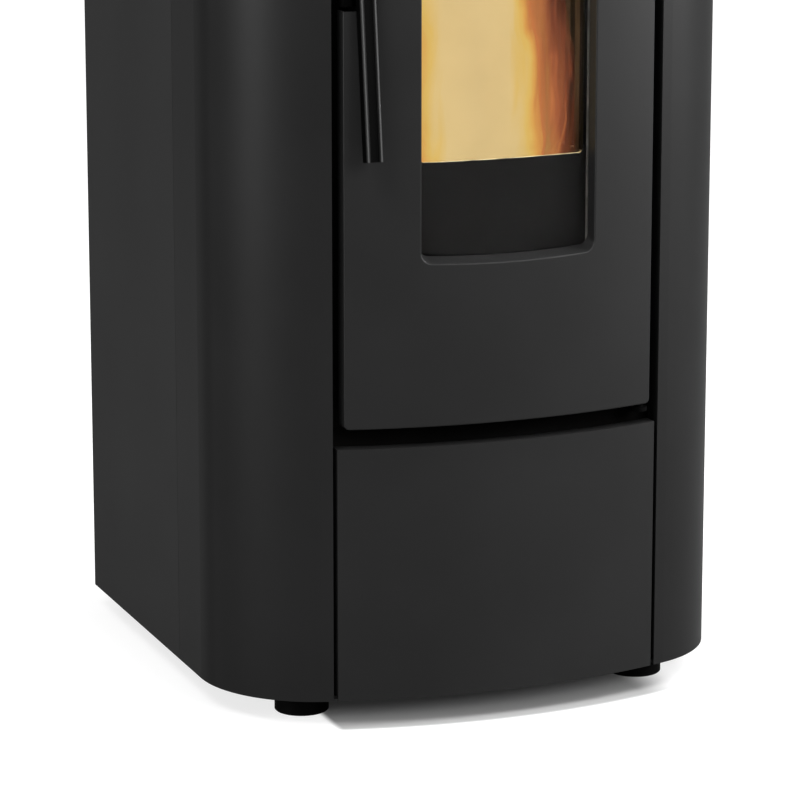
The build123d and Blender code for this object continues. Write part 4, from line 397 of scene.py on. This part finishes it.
store = []
for column in range(STORE_COLUMNS):
    for row in range(STORE_ROWS):
        x = STORE_X * (2 * (column + chance.uniform(-0.3, 0.3)) / (STORE_COLUMNS - 1) - 1)
        y = STORE_FRONT + (STORE_BACK - STORE_FRONT) * (row + chance.uniform(-0.3, 0.3)) / (STORE_ROWS - 1)
        hump = 0.022 * (1 - (x / 0.15) ** 2) + 0.010 * (1 - ((y - 0.125) / 0.09) ** 2)
        x = max(-STORE_X, min(STORE_X, x))
        y = max(STORE_FRONT, min(STORE_BACK, y))
        for layer in range(2):
            point = Vector((x, y, STORE_TOP + hump - 0.007 * layer + chance.uniform(-0.003, 0.003)))
            store.append((point, chance.uniform(0, pi), chance.uniform(65, 110) * pi / 180,
                          chance.uniform(0.7, 1.2)))
heap("fuel_pellets", wood, "casing", store)

# --- Heat exchanger, igniter and pellet chute -----------------------------------------------------
# Eight drawn steel tubes are welded through the firebox for the room air. The igniter is a steel rod
# in a sleeve behind the pot, and the chute is bent from stainless sheet that heat has tinted straw.
tube_steel = finish("heat-tinted steel", (0.20, 0.17, 0.13), (0.42, 0.39, 0.35), (0.35, 0.55), 24, 600,
                    0.00004, 1.0)
dress(tube_steel, "heat_exchanger_tubes", "igniter", "pellet_chute")

# --- Hopper ---------------------------------------------------------------------------------------
# A tapered bin of galvanised sheet under the lid, with a welded wire guard so that a hand can't reach
# the screw. Sliding pellets have rubbed its walls bright.
bin_zinc = finish("hopper sheet", (0.36, 0.37, 0.38), (0.55, 0.56, 0.57), (0.28, 0.45), 30, 260, 0.00003, 1.0)
spangle(bin_zinc, 90, (0.38, 0.39, 0.40), (0.60, 0.61, 0.62))
dress(bin_zinc, "pellet_hopper")
wire = finish("zinc-plated wire", (0.42, 0.43, 0.45), (0.62, 0.63, 0.64), (0.25, 0.4), 60, 800, 0.00002, 1.0)
dress(wire, "hopper_guard")

# --- Feed screw and its motor ---------------------------------------------------------------------
# A welded screw turns in a steel tube and lifts pellets to the chute. The geared motor on its lower
# end is sprayed grey; both blower motors have the same enamel.
screw_steel = finish("rubbed steel", (0.30, 0.30, 0.31), (0.50, 0.50, 0.51), (0.25, 0.45), 50, 900, 0.00004,
                     1.0)
dress(screw_steel, "auger_screw", "auger_tube")
enamel = finish("motor enamel", (0.09, 0.092, 0.10), (0.14, 0.142, 0.15), (0.3, 0.45), 40, 500, 0.00003)
dress(enamel, "auger_gearmotor", "blower_motors")

# --- Smoke side -----------------------------------------------------------------------------------
# Smoke leaves through a sheet duct, a die-cast blower housing and a painted spigot for the flue pipe.
# The wheel is welded from steel and browned by the smoke.
dress(zinc, "smoke_duct")
cast_alloy = finish("die-cast alloy", (0.40, 0.40, 0.41), (0.56, 0.56, 0.57), (0.4, 0.6), 35, 500, 0.0001,
                    1.0)
dress(cast_alloy, "exhaust_housing")
dress(tube_steel, "exhaust_impeller")
spigot_paint = finish("flue paint", (0.014, 0.014, 0.014), (0.026, 0.025, 0.024), (0.5, 0.7), 16, 800,
                      0.00006)
dress(spigot_paint, "flue_outlet")

# --- Air side -------------------------------------------------------------------------------------
# Combustion air comes in by a zinc-coated pipe at the back. The room fan blows through a sheet duct
# to the tubes and out of the grille over the door.
pipe_zinc = finish("zinc-coated pipe", (0.40, 0.41, 0.42), (0.58, 0.59, 0.60), (0.3, 0.45), 30, 300, 0.00003,
                   1.0)
dress(pipe_zinc, "combustion_air_inlet")
dress(zinc, "room_fan_housing", "room_impeller", "warm_air_duct")

# --- Control box, socket and switch ---------------------------------------------------------------
# The board sits in a moulded box at the left. Behind it the rear panel holds the mains socket with its
# rocker switch and the screwed collar of the safety thermostat with its grey reset button.
moulded = finish("moulded plastic", (0.010, 0.010, 0.011), (0.016, 0.016, 0.017), (0.42, 0.55), 30, 1600,
                 0.00004,
                 0.0, 0.06)
dress(moulded, "control_box", "power_inlet", "power_switch", "reset_thermostat")
rubber = finish("grey rubber", (0.20, 0.20, 0.21), (0.27, 0.27, 0.28), (0.6, 0.75), 60, 1200, 0.00004, 0.0,
                0.05)
dress(rubber, "reset_button")

# --- Wiring ---------------------------------------------------------------------------------------
# Bundled leads in ribbed black conduit, tied along the inside of the casing. One run climbs from the
# control box to the panel on top, the other crosses to the screw's motor.
CONDUIT_R, CONDUIT_RIB, CONDUIT_GROOVE = 0.0039, 0.0042, 0.0008
WALL_X = -0.246
PANEL_RUN_Y, PANEL_RUN_TOP, PANEL_RUN_FRONT = 0.12757, 1.0183, -0.1544
MOTOR_RUN_Y, MOTOR_RUN_TOP, MOTOR_RUN_BACK = 0.09757, 0.4621, 0.1936
BOX_TOP = 0.2801


def line_through(points, closed=False):
    """A smooth line with these points as its control points."""
    line = bpy.data.curves.new("line", "CURVE")
    line.dimensions = "3D"
    line.resolution_u = 24
    spline = line.splines.new("NURBS")
    spline.points.add(len(points) - 1)
    for knot, point in zip(spline.points, points):
        knot.co = (*point, 1)
    spline.order_u = 3
    spline.use_endpoint_u = not closed
    spline.use_cyclic_u = closed
    guide = bpy.data.objects.new("line", line)
    bpy.context.scene.collection.objects.link(guide)
    return guide


def length_of(guide):
    """Real length of a line."""
    steps = bpy.data.meshes.new_from_object(guide)
    ends = [[steps.vertices[i].co for i in edge.vertices] for edge in steps.edges]
    total = sum((b - a).length for a, b in ends)
    bpy.data.meshes.remove(steps)
    return total


def follow(guide, pitch):
    """Repeat the piece in hand, which runs one pitch along X, all along the line, and bend it there."""
    length = length_of(guide)
    count = max(1, round(length / pitch))
    bpy.context.object.data.transform(Matrix.Scale(length / count / pitch, 4, (1, 0, 0)))
    use("repeat", "ARRAY", count=count, use_relative_offset=False, use_constant_offset=True,
        constant_offset_displace=(length / count, 0, 0), use_merge_vertices=True, merge_threshold=0.00005)
    use("lay", "CURVE", object=guide, deform_axis="POS_X")
    bpy.data.objects.remove(guide)


def conduit_rib():
    """One rib of the conduit: a short tube along X, swollen in its middle."""
    fresh()
    bpy.ops.mesh.primitive_circle_add(vertices=12, radius=CONDUIT_R - CONDUIT_GROOVE,
                                      rotation=(0, radians(90), 0))
    bpy.ops.object.transform_apply(location=True, rotation=True, scale=True)
    bpy.ops.object.mode_set(mode="EDIT")
    bpy.ops.mesh.select_all(action="SELECT")
    swell = CONDUIT_R / (CONDUIT_R - CONDUIT_GROOVE)
    reached = 0
    for share, size in ((0.18, swell), (0.42, 1), (0.18, 1 / swell), (0.22, 1)):
        reached += share * CONDUIT_RIB
        bpy.ops.mesh.extrude_region_move(TRANSFORM_OT_translate={"value": (share * CONDUIT_RIB, 0, 0)})
        bpy.ops.transform.resize(value=(1, size, size), center_override=(reached, 0, 0))
    bpy.ops.mesh.select_all(action="SELECT")
    bpy.ops.mesh.normals_make_consistent(inside=False)
    bpy.ops.object.mode_set(mode="OBJECT")
    return bpy.context.object


sleeve = finish("ribbed conduit", (0.012, 0.012, 0.012), (0.024, 0.024, 0.024), (0.35, 0.5), 60, 900, 0.00004)
RUNS = {
    "panel_conduit": [
        (WALL_X, PANEL_RUN_Y, BOX_TOP), (WALL_X, PANEL_RUN_Y, 0.45), (WALL_X, PANEL_RUN_Y, 0.95),
        (WALL_X, PANEL_RUN_Y, PANEL_RUN_TOP), (WALL_X, 0.06, PANEL_RUN_TOP), (WALL_X, -0.09, PANEL_RUN_TOP),
        (WALL_X, PANEL_RUN_FRONT, PANEL_RUN_TOP), (-0.19, PANEL_RUN_FRONT, PANEL_RUN_TOP),
        (-0.11, PANEL_RUN_FRONT, PANEL_RUN_TOP), (-0.060, PANEL_RUN_FRONT, PANEL_RUN_TOP),
        (-0.060, PANEL_RUN_FRONT, 1.0720),
    ],
    "motor_conduit": [
        (WALL_X, MOTOR_RUN_Y, BOX_TOP), (WALL_X, MOTOR_RUN_Y, 0.32), (WALL_X, MOTOR_RUN_Y, 0.42),
        (WALL_X, MOTOR_RUN_Y, MOTOR_RUN_TOP), (-0.215, MOTOR_RUN_Y, MOTOR_RUN_TOP),
        (-0.176, MOTOR_RUN_Y, MOTOR_RUN_TOP), (-0.176, 0.1436, MOTOR_RUN_TOP),
        (-0.176, MOTOR_RUN_BACK, MOTOR_RUN_TOP), (-0.120, MOTOR_RUN_BACK, MOTOR_RUN_TOP),
        (-0.0222, MOTOR_RUN_BACK, MOTOR_RUN_TOP),
    ],
}
conduits = []
for name, points in RUNS.items():
    conduit_rib()
    follow(line_through(points), CONDUIT_RIB)
    bpy.ops.object.shade_smooth()
    conduits.append(seat(name, sleeve, "casing"))
for conduit in conduits:
    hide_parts("wiring_loom")

# --- Casing ---------------------------------------------------------------------------------------
# Steel sheet with a fine matt textured coat, baked on. The flat side panels get a lighter copy of the coat, a
# painted light, and the flat flanks of the rolled columns beside them get a painted shade.
FLANK_SHADE_START, FLANK_SHADE_FULL = 0.264, 0.2682
# Painted light: the side panels get a lighter copy of the casing's coat.
painted_light_side_coat = finish("side panel coat", (0.024, 0.024, 0.024), (0.029, 0.029, 0.029), (0.5, 0.6), 7, 1500,
                   0.00006, 0.0, 0.05)
dress(painted_light_side_coat, "side_panel_left", "side_panel_right")
coat = finish("fine textured black", (0.0105, 0.0105, 0.0105), (0.0135, 0.0135, 0.0136), (0.42, 0.50), 7,
              1500,
              0.00006, 0.0, 0.12)
dress(coat, "rear_panel", "lower_front_panel", "upper_front_panel", "top_cover")
column_coat = finish("column coat", (0.0110, 0.0110, 0.0110), (0.0140, 0.0140, 0.0141), (0.42, 0.50), 7, 1500,
                     0.00006, 0.0, 0.075)
column_tree = column_coat.node_tree
# Painted shade: the columns' flat flanks beside the side panels get a darker colour.
painted_flank_shade = column_tree.nodes.new("ShaderNodeMapRange")
painted_flank_shade.interpolation_type = "SMOOTHSTEP"
painted_flank_shade.inputs["From Min"].default_value = FLANK_SHADE_START
painted_flank_shade.inputs["From Max"].default_value = FLANK_SHADE_FULL
column_tree.links.new(reckon(column_tree, "ABSOLUTE", place_in(column_tree)["X"]), painted_flank_shade.inputs["Value"])
shade = column_tree.nodes.new("ShaderNodeMix")
shade.data_type = "RGBA"
column_tree.links.new(painted_flank_shade.outputs["Result"], shade.inputs["Factor"])
column_tree.links.new(column_tree.nodes["tint"].outputs["Color"], shade.inputs["A"])
shade.inputs["B"].default_value = (0.0055, 0.0055, 0.0055, 1)
column_tree.links.new(shade.outputs["Result"], column_tree.nodes["Principled BSDF"].inputs["Base Color"])
dress(column_coat, "front_column_left", "front_column_right")
plated = finish("plated screws", (0.20, 0.20, 0.205), (0.32, 0.32, 0.32), (0.38, 0.52), 200, 2000, 0.00002,
                1.0)
dress(plated, "casing_screws")

# --- Hopper lid and its seal ----------------------------------------------------------------------
# A sheet lid on two plated pins, coated like the casing. Under its rim an extruded silicone seal, with
# a flat foot and a soft bulb, keeps the hopper tight.
dress(coat, "hopper_lid")
dress(plated, "lid_hinges")
silicone = finish("black silicone", (0.016, 0.016, 0.016), (0.024, 0.024, 0.024), (0.45, 0.6), 40, 900,
                  0.00005)
SEAL_X = 0.151
SEAL_FRONT, SEAL_BACK = 0.0366, 0.2126
SEAL_Z = 1.0821
SEAL_PITCH = 0.004
FOOT_HALF, FOOT_TOP, FOOT_UNDER = 0.0039, 0.0014, 0.0007
BULB_HALF, BULB_MIDDLE, BULB_DEPTH = 0.0027, 0.0004, 0.0018


def ring_points(x, low, high, near, level):
    """Control points of a flat ring with tight corners. level turns its two numbers into a place."""
    corners = [(x, high), (-x, high), (-x, low), (x, low)]
    points = []
    for (a, b), (c, d) in zip(corners, corners[1:] + corners[:1]):
        run = max(abs(c - a), abs(d - b))
        for share in (near / run, 0.5, 1 - near / run):
            points.append(level(a + (c - a) * share, b + (d - b) * share))
        points.append(level(c, d))
    return points


def seal_slice():
    """One slice of the seal along X: its foot lies on top, its bulb hangs below."""
    fresh()
    bpy.ops.mesh.primitive_circle_add(vertices=16, radius=1, rotation=(0, radians(90), 0))
    bpy.ops.object.transform_apply(location=True, rotation=True, scale=True)
    slice_ = bpy.context.object
    for vertex in slice_.data.vertices:
        across, up = vertex.co.y, vertex.co.z
        if up > 0.3:
            vertex.co.y, vertex.co.z = FOOT_HALF * max(-1, min(1, across * 1.6)), FOOT_TOP
        elif up > -0.05:
            vertex.co.y, vertex.co.z = FOOT_HALF * max(-1, min(1, across)), FOOT_UNDER
        else:
            vertex.co.y, vertex.co.z = BULB_HALF * across, BULB_MIDDLE + BULB_DEPTH * up
        vertex.co.x = 0
    bpy.ops.object.mode_set(mode="EDIT")
    bpy.ops.mesh.select_all(action="SELECT")
    bpy.ops.mesh.extrude_region_move(TRANSFORM_OT_translate={"value": (SEAL_PITCH, 0, 0)})
    bpy.ops.mesh.select_all(action="SELECT")
    bpy.ops.mesh.normals_make_consistent(inside=False)
    bpy.ops.object.mode_set(mode="OBJECT")
    return slice_


def close_ring():
    """Sew the last repeat to the first and turn every face outwards."""
    bpy.ops.object.mode_set(mode="EDIT")
    bpy.ops.mesh.select_all(action="SELECT")
    bpy.ops.mesh.remove_doubles(threshold=0.0003)
    bpy.ops.mesh.normals_make_consistent(inside=False)
    bpy.ops.object.mode_set(mode="OBJECT")


seal_slice()
seal_line = ring_points(SEAL_X, SEAL_FRONT, SEAL_BACK, 0.006, lambda a, b: (a, b, SEAL_Z))
follow(line_through(seal_line, True), SEAL_PITCH)
close_ring()
bpy.ops.object.shade_smooth_by_angle(angle=radians(50))
lid_ring = seat("lid_seal_profile", silicone, "lid")
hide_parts("lid_seal")

# --- Control panel --------------------------------------------------------------------------------
# A moulded bezel in the top cover with a polished dark display window and four soft rubber keys.
dress(moulded, "control_bezel")
screen = finish("dark display window", (0.002, 0.003, 0.004), (0.003, 0.004, 0.005), (0.06, 0.1), 20, 300,
                0.000002,
                0.0, 0.15)
dress(screen, "control_screen")
dress(rubber, "key_power", "key_menu", "key_up", "key_down")

# --- Door -----------------------------------------------------------------------------------------
# The outer panel is bowed sheet with a sunk rim round the window, coated like the casing. Behind it a
# cast frame, blackened at its front, carries the glass. Spacers, pins and the keeper are plated.
dress(coat, "door_panel")
frame_iron = finish("door frame casting", (0.0040, 0.0042, 0.0046), (0.0062, 0.0065, 0.0070), (0.6, 0.8), 18,
                    600,
                    0.00006, 0.0, 0.03)
# Pale ash on the frame's upward faces near the window's lower ledge, warm and bright as a painted reflection
# of the fire.
settle_ash_and_reflection(frame_iron, (0.85, 0.75, 0.50), 1.0, 0.53, 0.07)
dress(frame_iron, "door_frame")
hinge_black = finish("hinge black", (0.0006, 0.0006, 0.0006), (0.0016, 0.0016, 0.0016), (0.7, 0.9), 30, 900,
                     0.00004,
                     0.0, 0.02)
dress(hinge_black, "hinge_brackets", "handle_bracket")
dress(plated, "panel_spacers", "handle_pin", "latch_keeper")


def clear_glass():
    """Ceramic glass, a little brown in its depth, with a faint haze of ash on it."""
    material = finish("ceramic glass", (0.90, 0.87, 0.83), (0.97, 0.95, 0.92), (0.0, 0.03), 12, 200, 0.000001,
                      0.0, 0.08)
    shader = material.node_tree.nodes["Principled BSDF"]
    shader.inputs["Transmission Weight"].default_value = 1
    shader.inputs["IOR"].default_value = 1.08
    return material


dress(clear_glass(), "door_glass")

# --- Door rope and glass tape ---------------------------------------------------------------------
# A round plait of dark glass fibre is glued into the groove of the cast frame and meets the firebox.
# A flat woven tape of the same fibre cushions the glass on the frame.
ROPE_X, ROPE_LOW, ROPE_HIGH, ROPE_Y = 0.141, 0.3188, 0.8808, -0.22255
ROPE_R, ROPE_DEEPER = 0.00495, 1.14
PLAIT_TURN, PLAIT_STEPS, PLAIT_THREADS = 0.030, 24, 8
THREAD_R, THREAD_RISE = 0.00125, 0.0007
TAPE_X, TAPE_MIDDLE, TAPE_LOW, TAPE_HIGH = 0.0985, 0.0032, 0.4518, 0.8408
TAPE_W, TAPE_T, TAPE_CUTS = 0.009, 0.0013, 24
BOW_BACK, BOW_R = 0.34457, 0.59845

fibre = finish("glass fibre rope", (0.035, 0.035, 0.036), (0.12, 0.12, 0.118), (0.8, 0.95), 700, 2600, 0.0003)


def plait():
    """One turn of a round plait along X: eight threads, four each way, passing over and under, on a core."""
    threads = []
    for number in range(PLAIT_THREADS):
        way = 1 if number % 2 else -1
        line = bpy.data.curves.new("thread", "CURVE")
        line.dimensions = "3D"
        line.bevel_depth = THREAD_R
        line.bevel_resolution = 1
        spline = line.splines.new("POLY")
        spline.points.add(PLAIT_STEPS)
        for i, knot in enumerate(spline.points):
            turn = 2 * pi * i / PLAIT_STEPS
            out = ROPE_R - THREAD_R - THREAD_RISE + way * THREAD_RISE * cos(4 * turn - pi / 4)
            a = way * turn + number * pi / 4
            knot.co = (PLAIT_TURN * i / PLAIT_STEPS, out * cos(a), out * sin(a), 1)
        thread = bpy.data.objects.new("thread", line)
        bpy.context.scene.collection.objects.link(thread)
        threads.append(thread)
    fresh()
    bpy.ops.mesh.primitive_circle_add(vertices=10, radius=ROPE_R - 2.4 * THREAD_R,
                                      rotation=(0, radians(90), 0))
    bpy.ops.object.transform_apply(location=True, rotation=True, scale=True)
    bpy.ops.object.mode_set(mode="EDIT")
    bpy.ops.mesh.select_all(action="SELECT")
    for step in range(6):
        bpy.ops.mesh.extrude_region_move(TRANSFORM_OT_translate={"value": (PLAIT_TURN / 6, 0, 0)})
    bpy.ops.object.mode_set(mode="OBJECT")
    core = bpy.context.object
    for thread in threads:
        thread.select_set(True)
    bpy.context.view_layer.objects.active = core
    bpy.ops.object.convert(target="MESH")
    bpy.ops.object.join()
    return bpy.context.object


plait()
rope_line = ring_points(ROPE_X, ROPE_LOW, ROPE_HIGH, 0.012, lambda a, b: (a, ROPE_Y, b))
follow(line_through(rope_line, True), PLAIT_TURN)
close_ring()
deepen = Matrix.Scale(ROPE_DEEPER, 4, (0, 1, 0))
to_rope, from_rope = Matrix.Translation((0, ROPE_Y, 0)), Matrix.Translation((0, -ROPE_Y, 0))
bpy.context.object.data.transform(to_rope @ deepen @ from_rope)
bpy.ops.object.shade_smooth()
rope = seat("door_rope", fibre, "door")
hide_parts("door_rope_seal")

weave = finish("woven glass tape", (0.05, 0.05, 0.05), (0.13, 0.13, 0.128), (0.8, 0.95), 60, 2000, 0.0002)
weave_nodes, weave_links = weave.node_tree.nodes, weave.node_tree.links
heights = []
for axis in ("X", "Z"):
    yarn = weave_nodes.new("ShaderNodeTexWave")
    yarn.bands_direction = axis
    yarn.inputs["Scale"].default_value = 300
    yarn.inputs["Distortion"].default_value = 0.4
    weave_links.new(weave_nodes["Texture Coordinate"].outputs["Object"], yarn.inputs["Vector"])
    heights.append(yarn.outputs["Fac"])
weave_links.new(reckon(weave.node_tree, "MULTIPLY", *heights), weave_nodes["bump"].inputs["Height"])

fresh()
bpy.ops.mesh.primitive_plane_add(size=1, rotation=(radians(90), 0, 0))
bpy.ops.object.transform_apply(location=True, rotation=True, scale=True)
tape = bpy.context.object
tape_high = TAPE_HIGH - TAPE_LOW
tape_middle = Matrix.Translation((TAPE_MIDDLE, 0, TAPE_LOW + tape_high / 2))
tape.data.transform(tape_middle @ Matrix.Diagonal((2 * TAPE_X, 1, tape_high, 1)))
bpy.ops.object.mode_set(mode="EDIT")
bpy.ops.mesh.select_all(action="SELECT")
bpy.ops.mesh.bevel(affect="VERTICES", offset=0.009, segments=4)
bpy.ops.mesh.select_all(action="SELECT")
bpy.ops.mesh.inset(thickness=TAPE_W)
bpy.ops.mesh.delete(type="FACE")
for step in range(1, TAPE_CUTS):
    bpy.ops.mesh.select_all(action="SELECT")
    cut_x = TAPE_MIDDLE - TAPE_X + 2 * TAPE_X * step / TAPE_CUTS
    bpy.ops.mesh.bisect(plane_co=(cut_x, 0, 0), plane_no=(1, 0, 0))
bpy.ops.object.mode_set(mode="OBJECT")
for vertex in tape.data.vertices:
    vertex.co.y = BOW_BACK - sqrt(BOW_R ** 2 - vertex.co.x ** 2)
use("thickness", "SOLIDIFY", thickness=TAPE_T, offset=-1)
use("soft_edge", "BEVEL", width=0.0004, segments=2, limit_method="ANGLE", angle_limit=radians(60))
bpy.ops.object.mode_set(mode="EDIT")
bpy.ops.mesh.select_all(action="SELECT")
bpy.ops.mesh.normals_make_consistent(inside=False)
bpy.ops.object.mode_set(mode="OBJECT")
bpy.ops.object.shade_smooth_by_angle(angle=radians(50))
seat("glass_tape", weave, "door")
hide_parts("glass_gasket")

# --- Handle ---------------------------------------------------------------------------------------
# A bar of steel with two rounded ribs down its front, that hangs from a level pin near its top and leans out
# at its lower end. A painted highlight runs down each rib, and the groove between them has a painted shade.
HANDLE_X, HANDLE_HALF = -0.1426, 0.00875
# Greys across the bar from its middle out: a painted shade in the groove, then a painted highlight on each
# rib.
RIB_HIGHLIGHT_MARKS = [(0.0, 0.0006), (0.54, 0.0008), (0.66, 0.024), (0.77, 0.100), (0.87, 0.030), (0.96, 0.001)]
handle_paint = finish("satin black", (0.003, 0.003, 0.003), (0.005, 0.005, 0.005), (0.36, 0.46), 20, 1200,
                      0.00002,
                      0.0, 0.02)
paint_tree = handle_paint.node_tree
aside = reckon(paint_tree, "ABSOLUTE", reckon(paint_tree, "SUBTRACT", place_in(paint_tree)["X"], HANDLE_X))
bar = paint_tree.nodes.new("ShaderNodeMapRange")
bar.inputs["From Max"].default_value = HANDLE_HALF
paint_tree.links.new(aside, bar.inputs["Value"])
painted_rib_highlight = ramp_of(paint_tree, [(position, (grey, grey, grey)) for position, grey in RIB_HIGHLIGHT_MARKS])
paint_tree.links.new(bar.outputs["Result"], painted_rib_highlight.inputs["Fac"])
paint_tree.links.new(painted_rib_highlight.outputs["Color"], paint_tree.nodes["Principled BSDF"].inputs["Base Color"])
dress(handle_paint, "door_handle")

# --- Floor, lamps and camera ----------------------------------------------------------------------
# A pale floor that glows but for a painted shadow along the bowed front, a white surround, soft lamps, a warm
# one in the fire, and a camera with a long lens, left of the stove and a little above it.
PAINTED_SHADOW_LEFT, PAINTED_SHADOW_RIGHT = -0.165, 0.175
FLOOR_HALF_X, FLOOR_HALF_Y = 0.27, 0.26
FLOOR_BOW_R = 0.617
FLOOR_MIRRORED, SURROUND_MIRRORED = 0.25, 0.1
SURROUND_DIM, SURROUND_SEEN = 0.44, 0.56
fresh()
bpy.ops.mesh.primitive_plane_add(size=16, location=(0, 0, 0))
floor = bpy.context.object
floor.name = "floor"
floor_white = bpy.data.materials.new("pale floor")
floor_white.use_nodes = True
ground = floor_white.node_tree
ground.nodes.clear()


def ease(tree, value, start, stop, low, high):
    """A smooth passage from low to high."""
    step = tree.nodes.new("ShaderNodeMapRange")
    step.interpolation_type = "SMOOTHSTEP"
    step.inputs["From Min"].default_value = start
    step.inputs["From Max"].default_value = stop
    step.inputs["To Min"].default_value = low
    step.inputs["To Max"].default_value = high
    tree.links.new(value, step.inputs["Value"])
    return step.outputs["Result"]


def seen_by(tree, mirrored):
    """1 for what the camera sees, straight or through glass, and less for what a gloss mirrors."""
    path = tree.nodes.new("ShaderNodeLightPath")
    straight = reckon(tree, "MAXIMUM", path.outputs["Is Camera Ray"], path.outputs["Is Transmission Ray"])
    return reckon(tree, "MAXIMUM", straight,
                  reckon(tree, "MULTIPLY", path.outputs["Is Glossy Ray"], mirrored))


here = place_in(ground)
wide_of = reckon(ground, "SUBTRACT", reckon(ground, "ABSOLUTE", here["X"]), FLOOR_HALF_X)
deep_of = reckon(ground, "SUBTRACT", reckon(ground, "ABSOLUTE", here["Y"]), FLOOR_HALF_Y)
open_floor = ease(ground, reckon(ground, "MAXIMUM", wide_of, deep_of), 0.0, 0.12, 0.78, 1.0)
# Painted shadow: under and just in front of the bowed front the floor's glow drops almost to nothing,
# whatever the lamps do.
back = reckon(ground, "SUBTRACT", here["Y"], BOW_BACK)
squares = [reckon(ground, "MULTIPLY", part, part) for part in (here["X"], back)]
from_bow = reckon(ground, "SUBTRACT", reckon(ground, "SQRT", reckon(ground, "ADD", *squares)), FLOOR_BOW_R)
in_front = ease(ground, from_bow, 0.006, 0.015, 1.0, 0.0)
right_of = ease(ground, here["X"], PAINTED_SHADOW_LEFT - 0.01, PAINTED_SHADOW_LEFT, 0.0, 1.0)
left_of = ease(ground, here["X"], PAINTED_SHADOW_RIGHT - 0.02, PAINTED_SHADOW_RIGHT + 0.04, 1.0, 0.0)
near_front = reckon(ground, "MULTIPLY", in_front, reckon(ground, "MULTIPLY", right_of, left_of))
painted_shadow = reckon(ground, "MULTIPLY", near_front, ease(ground, here["Y"], -0.10, -0.06, 1.0, 0.0))
painted_shadow_glow = reckon(ground, "MULTIPLY", painted_shadow, ease(ground, from_bow, -0.08, 0.03, 0.015, 0.12))
open_glow = reckon(ground, "MULTIPLY", reckon(ground, "SUBTRACT", 1.0, painted_shadow), open_floor)
level = reckon(ground, "ADD", painted_shadow_glow, open_glow)
lit = ground.nodes.new("ShaderNodeBsdfDiffuse")
lit.inputs["Color"].default_value = (0.32, 0.32, 0.32, 1)
shine = ground.nodes.new("ShaderNodeEmission")
ground.links.new(reckon(ground, "MULTIPLY", seen_by(ground, FLOOR_MIRRORED), level), shine.inputs["Strength"])
both = ground.nodes.new("ShaderNodeAddShader")
ground.links.new(lit.outputs["BSDF"], both.inputs[0])
ground.links.new(shine.outputs["Emission"], both.inputs[1])
ground.links.new(both.outputs["Shader"], ground.nodes.new("ShaderNodeOutputMaterial").inputs["Surface"])
floor.data.materials.append(floor_white)

world = bpy.data.worlds.new("white surround")
bpy.context.scene.world = world
world.use_nodes = True
surround = world.node_tree
surround.nodes.clear()
seen = seen_by(surround, SURROUND_MIRRORED)
sky = surround.nodes.new("ShaderNodeBackground")
sky.inputs["Color"].default_value = (1, 1, 1, 1)
surround.links.new(reckon(surround, "MULTIPLY_ADD", seen, SURROUND_SEEN, SURROUND_DIM),
                   sky.inputs["Strength"])
surround.links.new(sky.outputs["Background"], surround.nodes.new("ShaderNodeOutputWorld").inputs["Surface"])


def lamp(name, place, aim, size, power, sheen_only=False):
    """A soft lamp that the camera can't see. A sheen-only one shows in gloss and lights nothing else."""
    fresh()
    bpy.ops.object.light_add(type="AREA", location=place)
    light = bpy.context.object
    light.name = name
    light.data.shape = "RECTANGLE"
    light.data.size, light.data.size_y = size
    light.data.energy = power
    light.rotation_euler = (Vector(aim) - Vector(place)).to_track_quat("-Z", "Y").to_euler()
    light.visible_diffuse = not sheen_only
    light.visible_camera = False


lamp("front lamp", (0.9, -3.6, 1.9), (0, -0.1, 0.5), (1.4, 1.4), 68)
lamp("left lamp", (-1.5, -1.2, 2.6), (-0.2, -0.1, 0.8), (1.0, 1.0), 46)
lamp("right lamp", (1.9, -0.7, 2.2), (0.2, -0.1, 0.8), (0.8, 1.2), 56)
lamp("top lamp", (1.2, -0.9, 3.0), (0, -0.2, 0.5), (1.6, 1.6), 26)
lamp("right strip", (2.80, -1.35, 1.5), (0.2, -0.2, 1.5), (0.6, 1.3), 270, True)
lamp("left strip", (-3.0, -0.9, 1.35), (-0.2, -0.2, 1.35), (1.1, 1.5), 180, True)
fresh()
bpy.ops.object.light_add(type="POINT", location=(0.03, -0.125, 0.66))
fire_lamp = bpy.context.object
fire_lamp.name = "fire lamp"
fire_lamp.visible_camera = fire_lamp.visible_transmission = fire_lamp.visible_glossy = False
fire_lamp.data.energy = 1.2
fire_lamp.data.color = (1.0, 0.62, 0.28)
fire_lamp.data.shadow_soft_size = 0.05

bpy.ops.object.camera_add(location=(-1.4333, -3.7020, 1.1923),
                          rotation=(radians(76.807), 0, radians(-21.063)))
camera = bpy.context.object
camera.data.lens = 176.04
camera.data.sensor_width = 36
camera.data.clip_end = 60
bpy.context.scene.camera = camera
bpy.context.scene.view_settings.view_transform = "Standard"
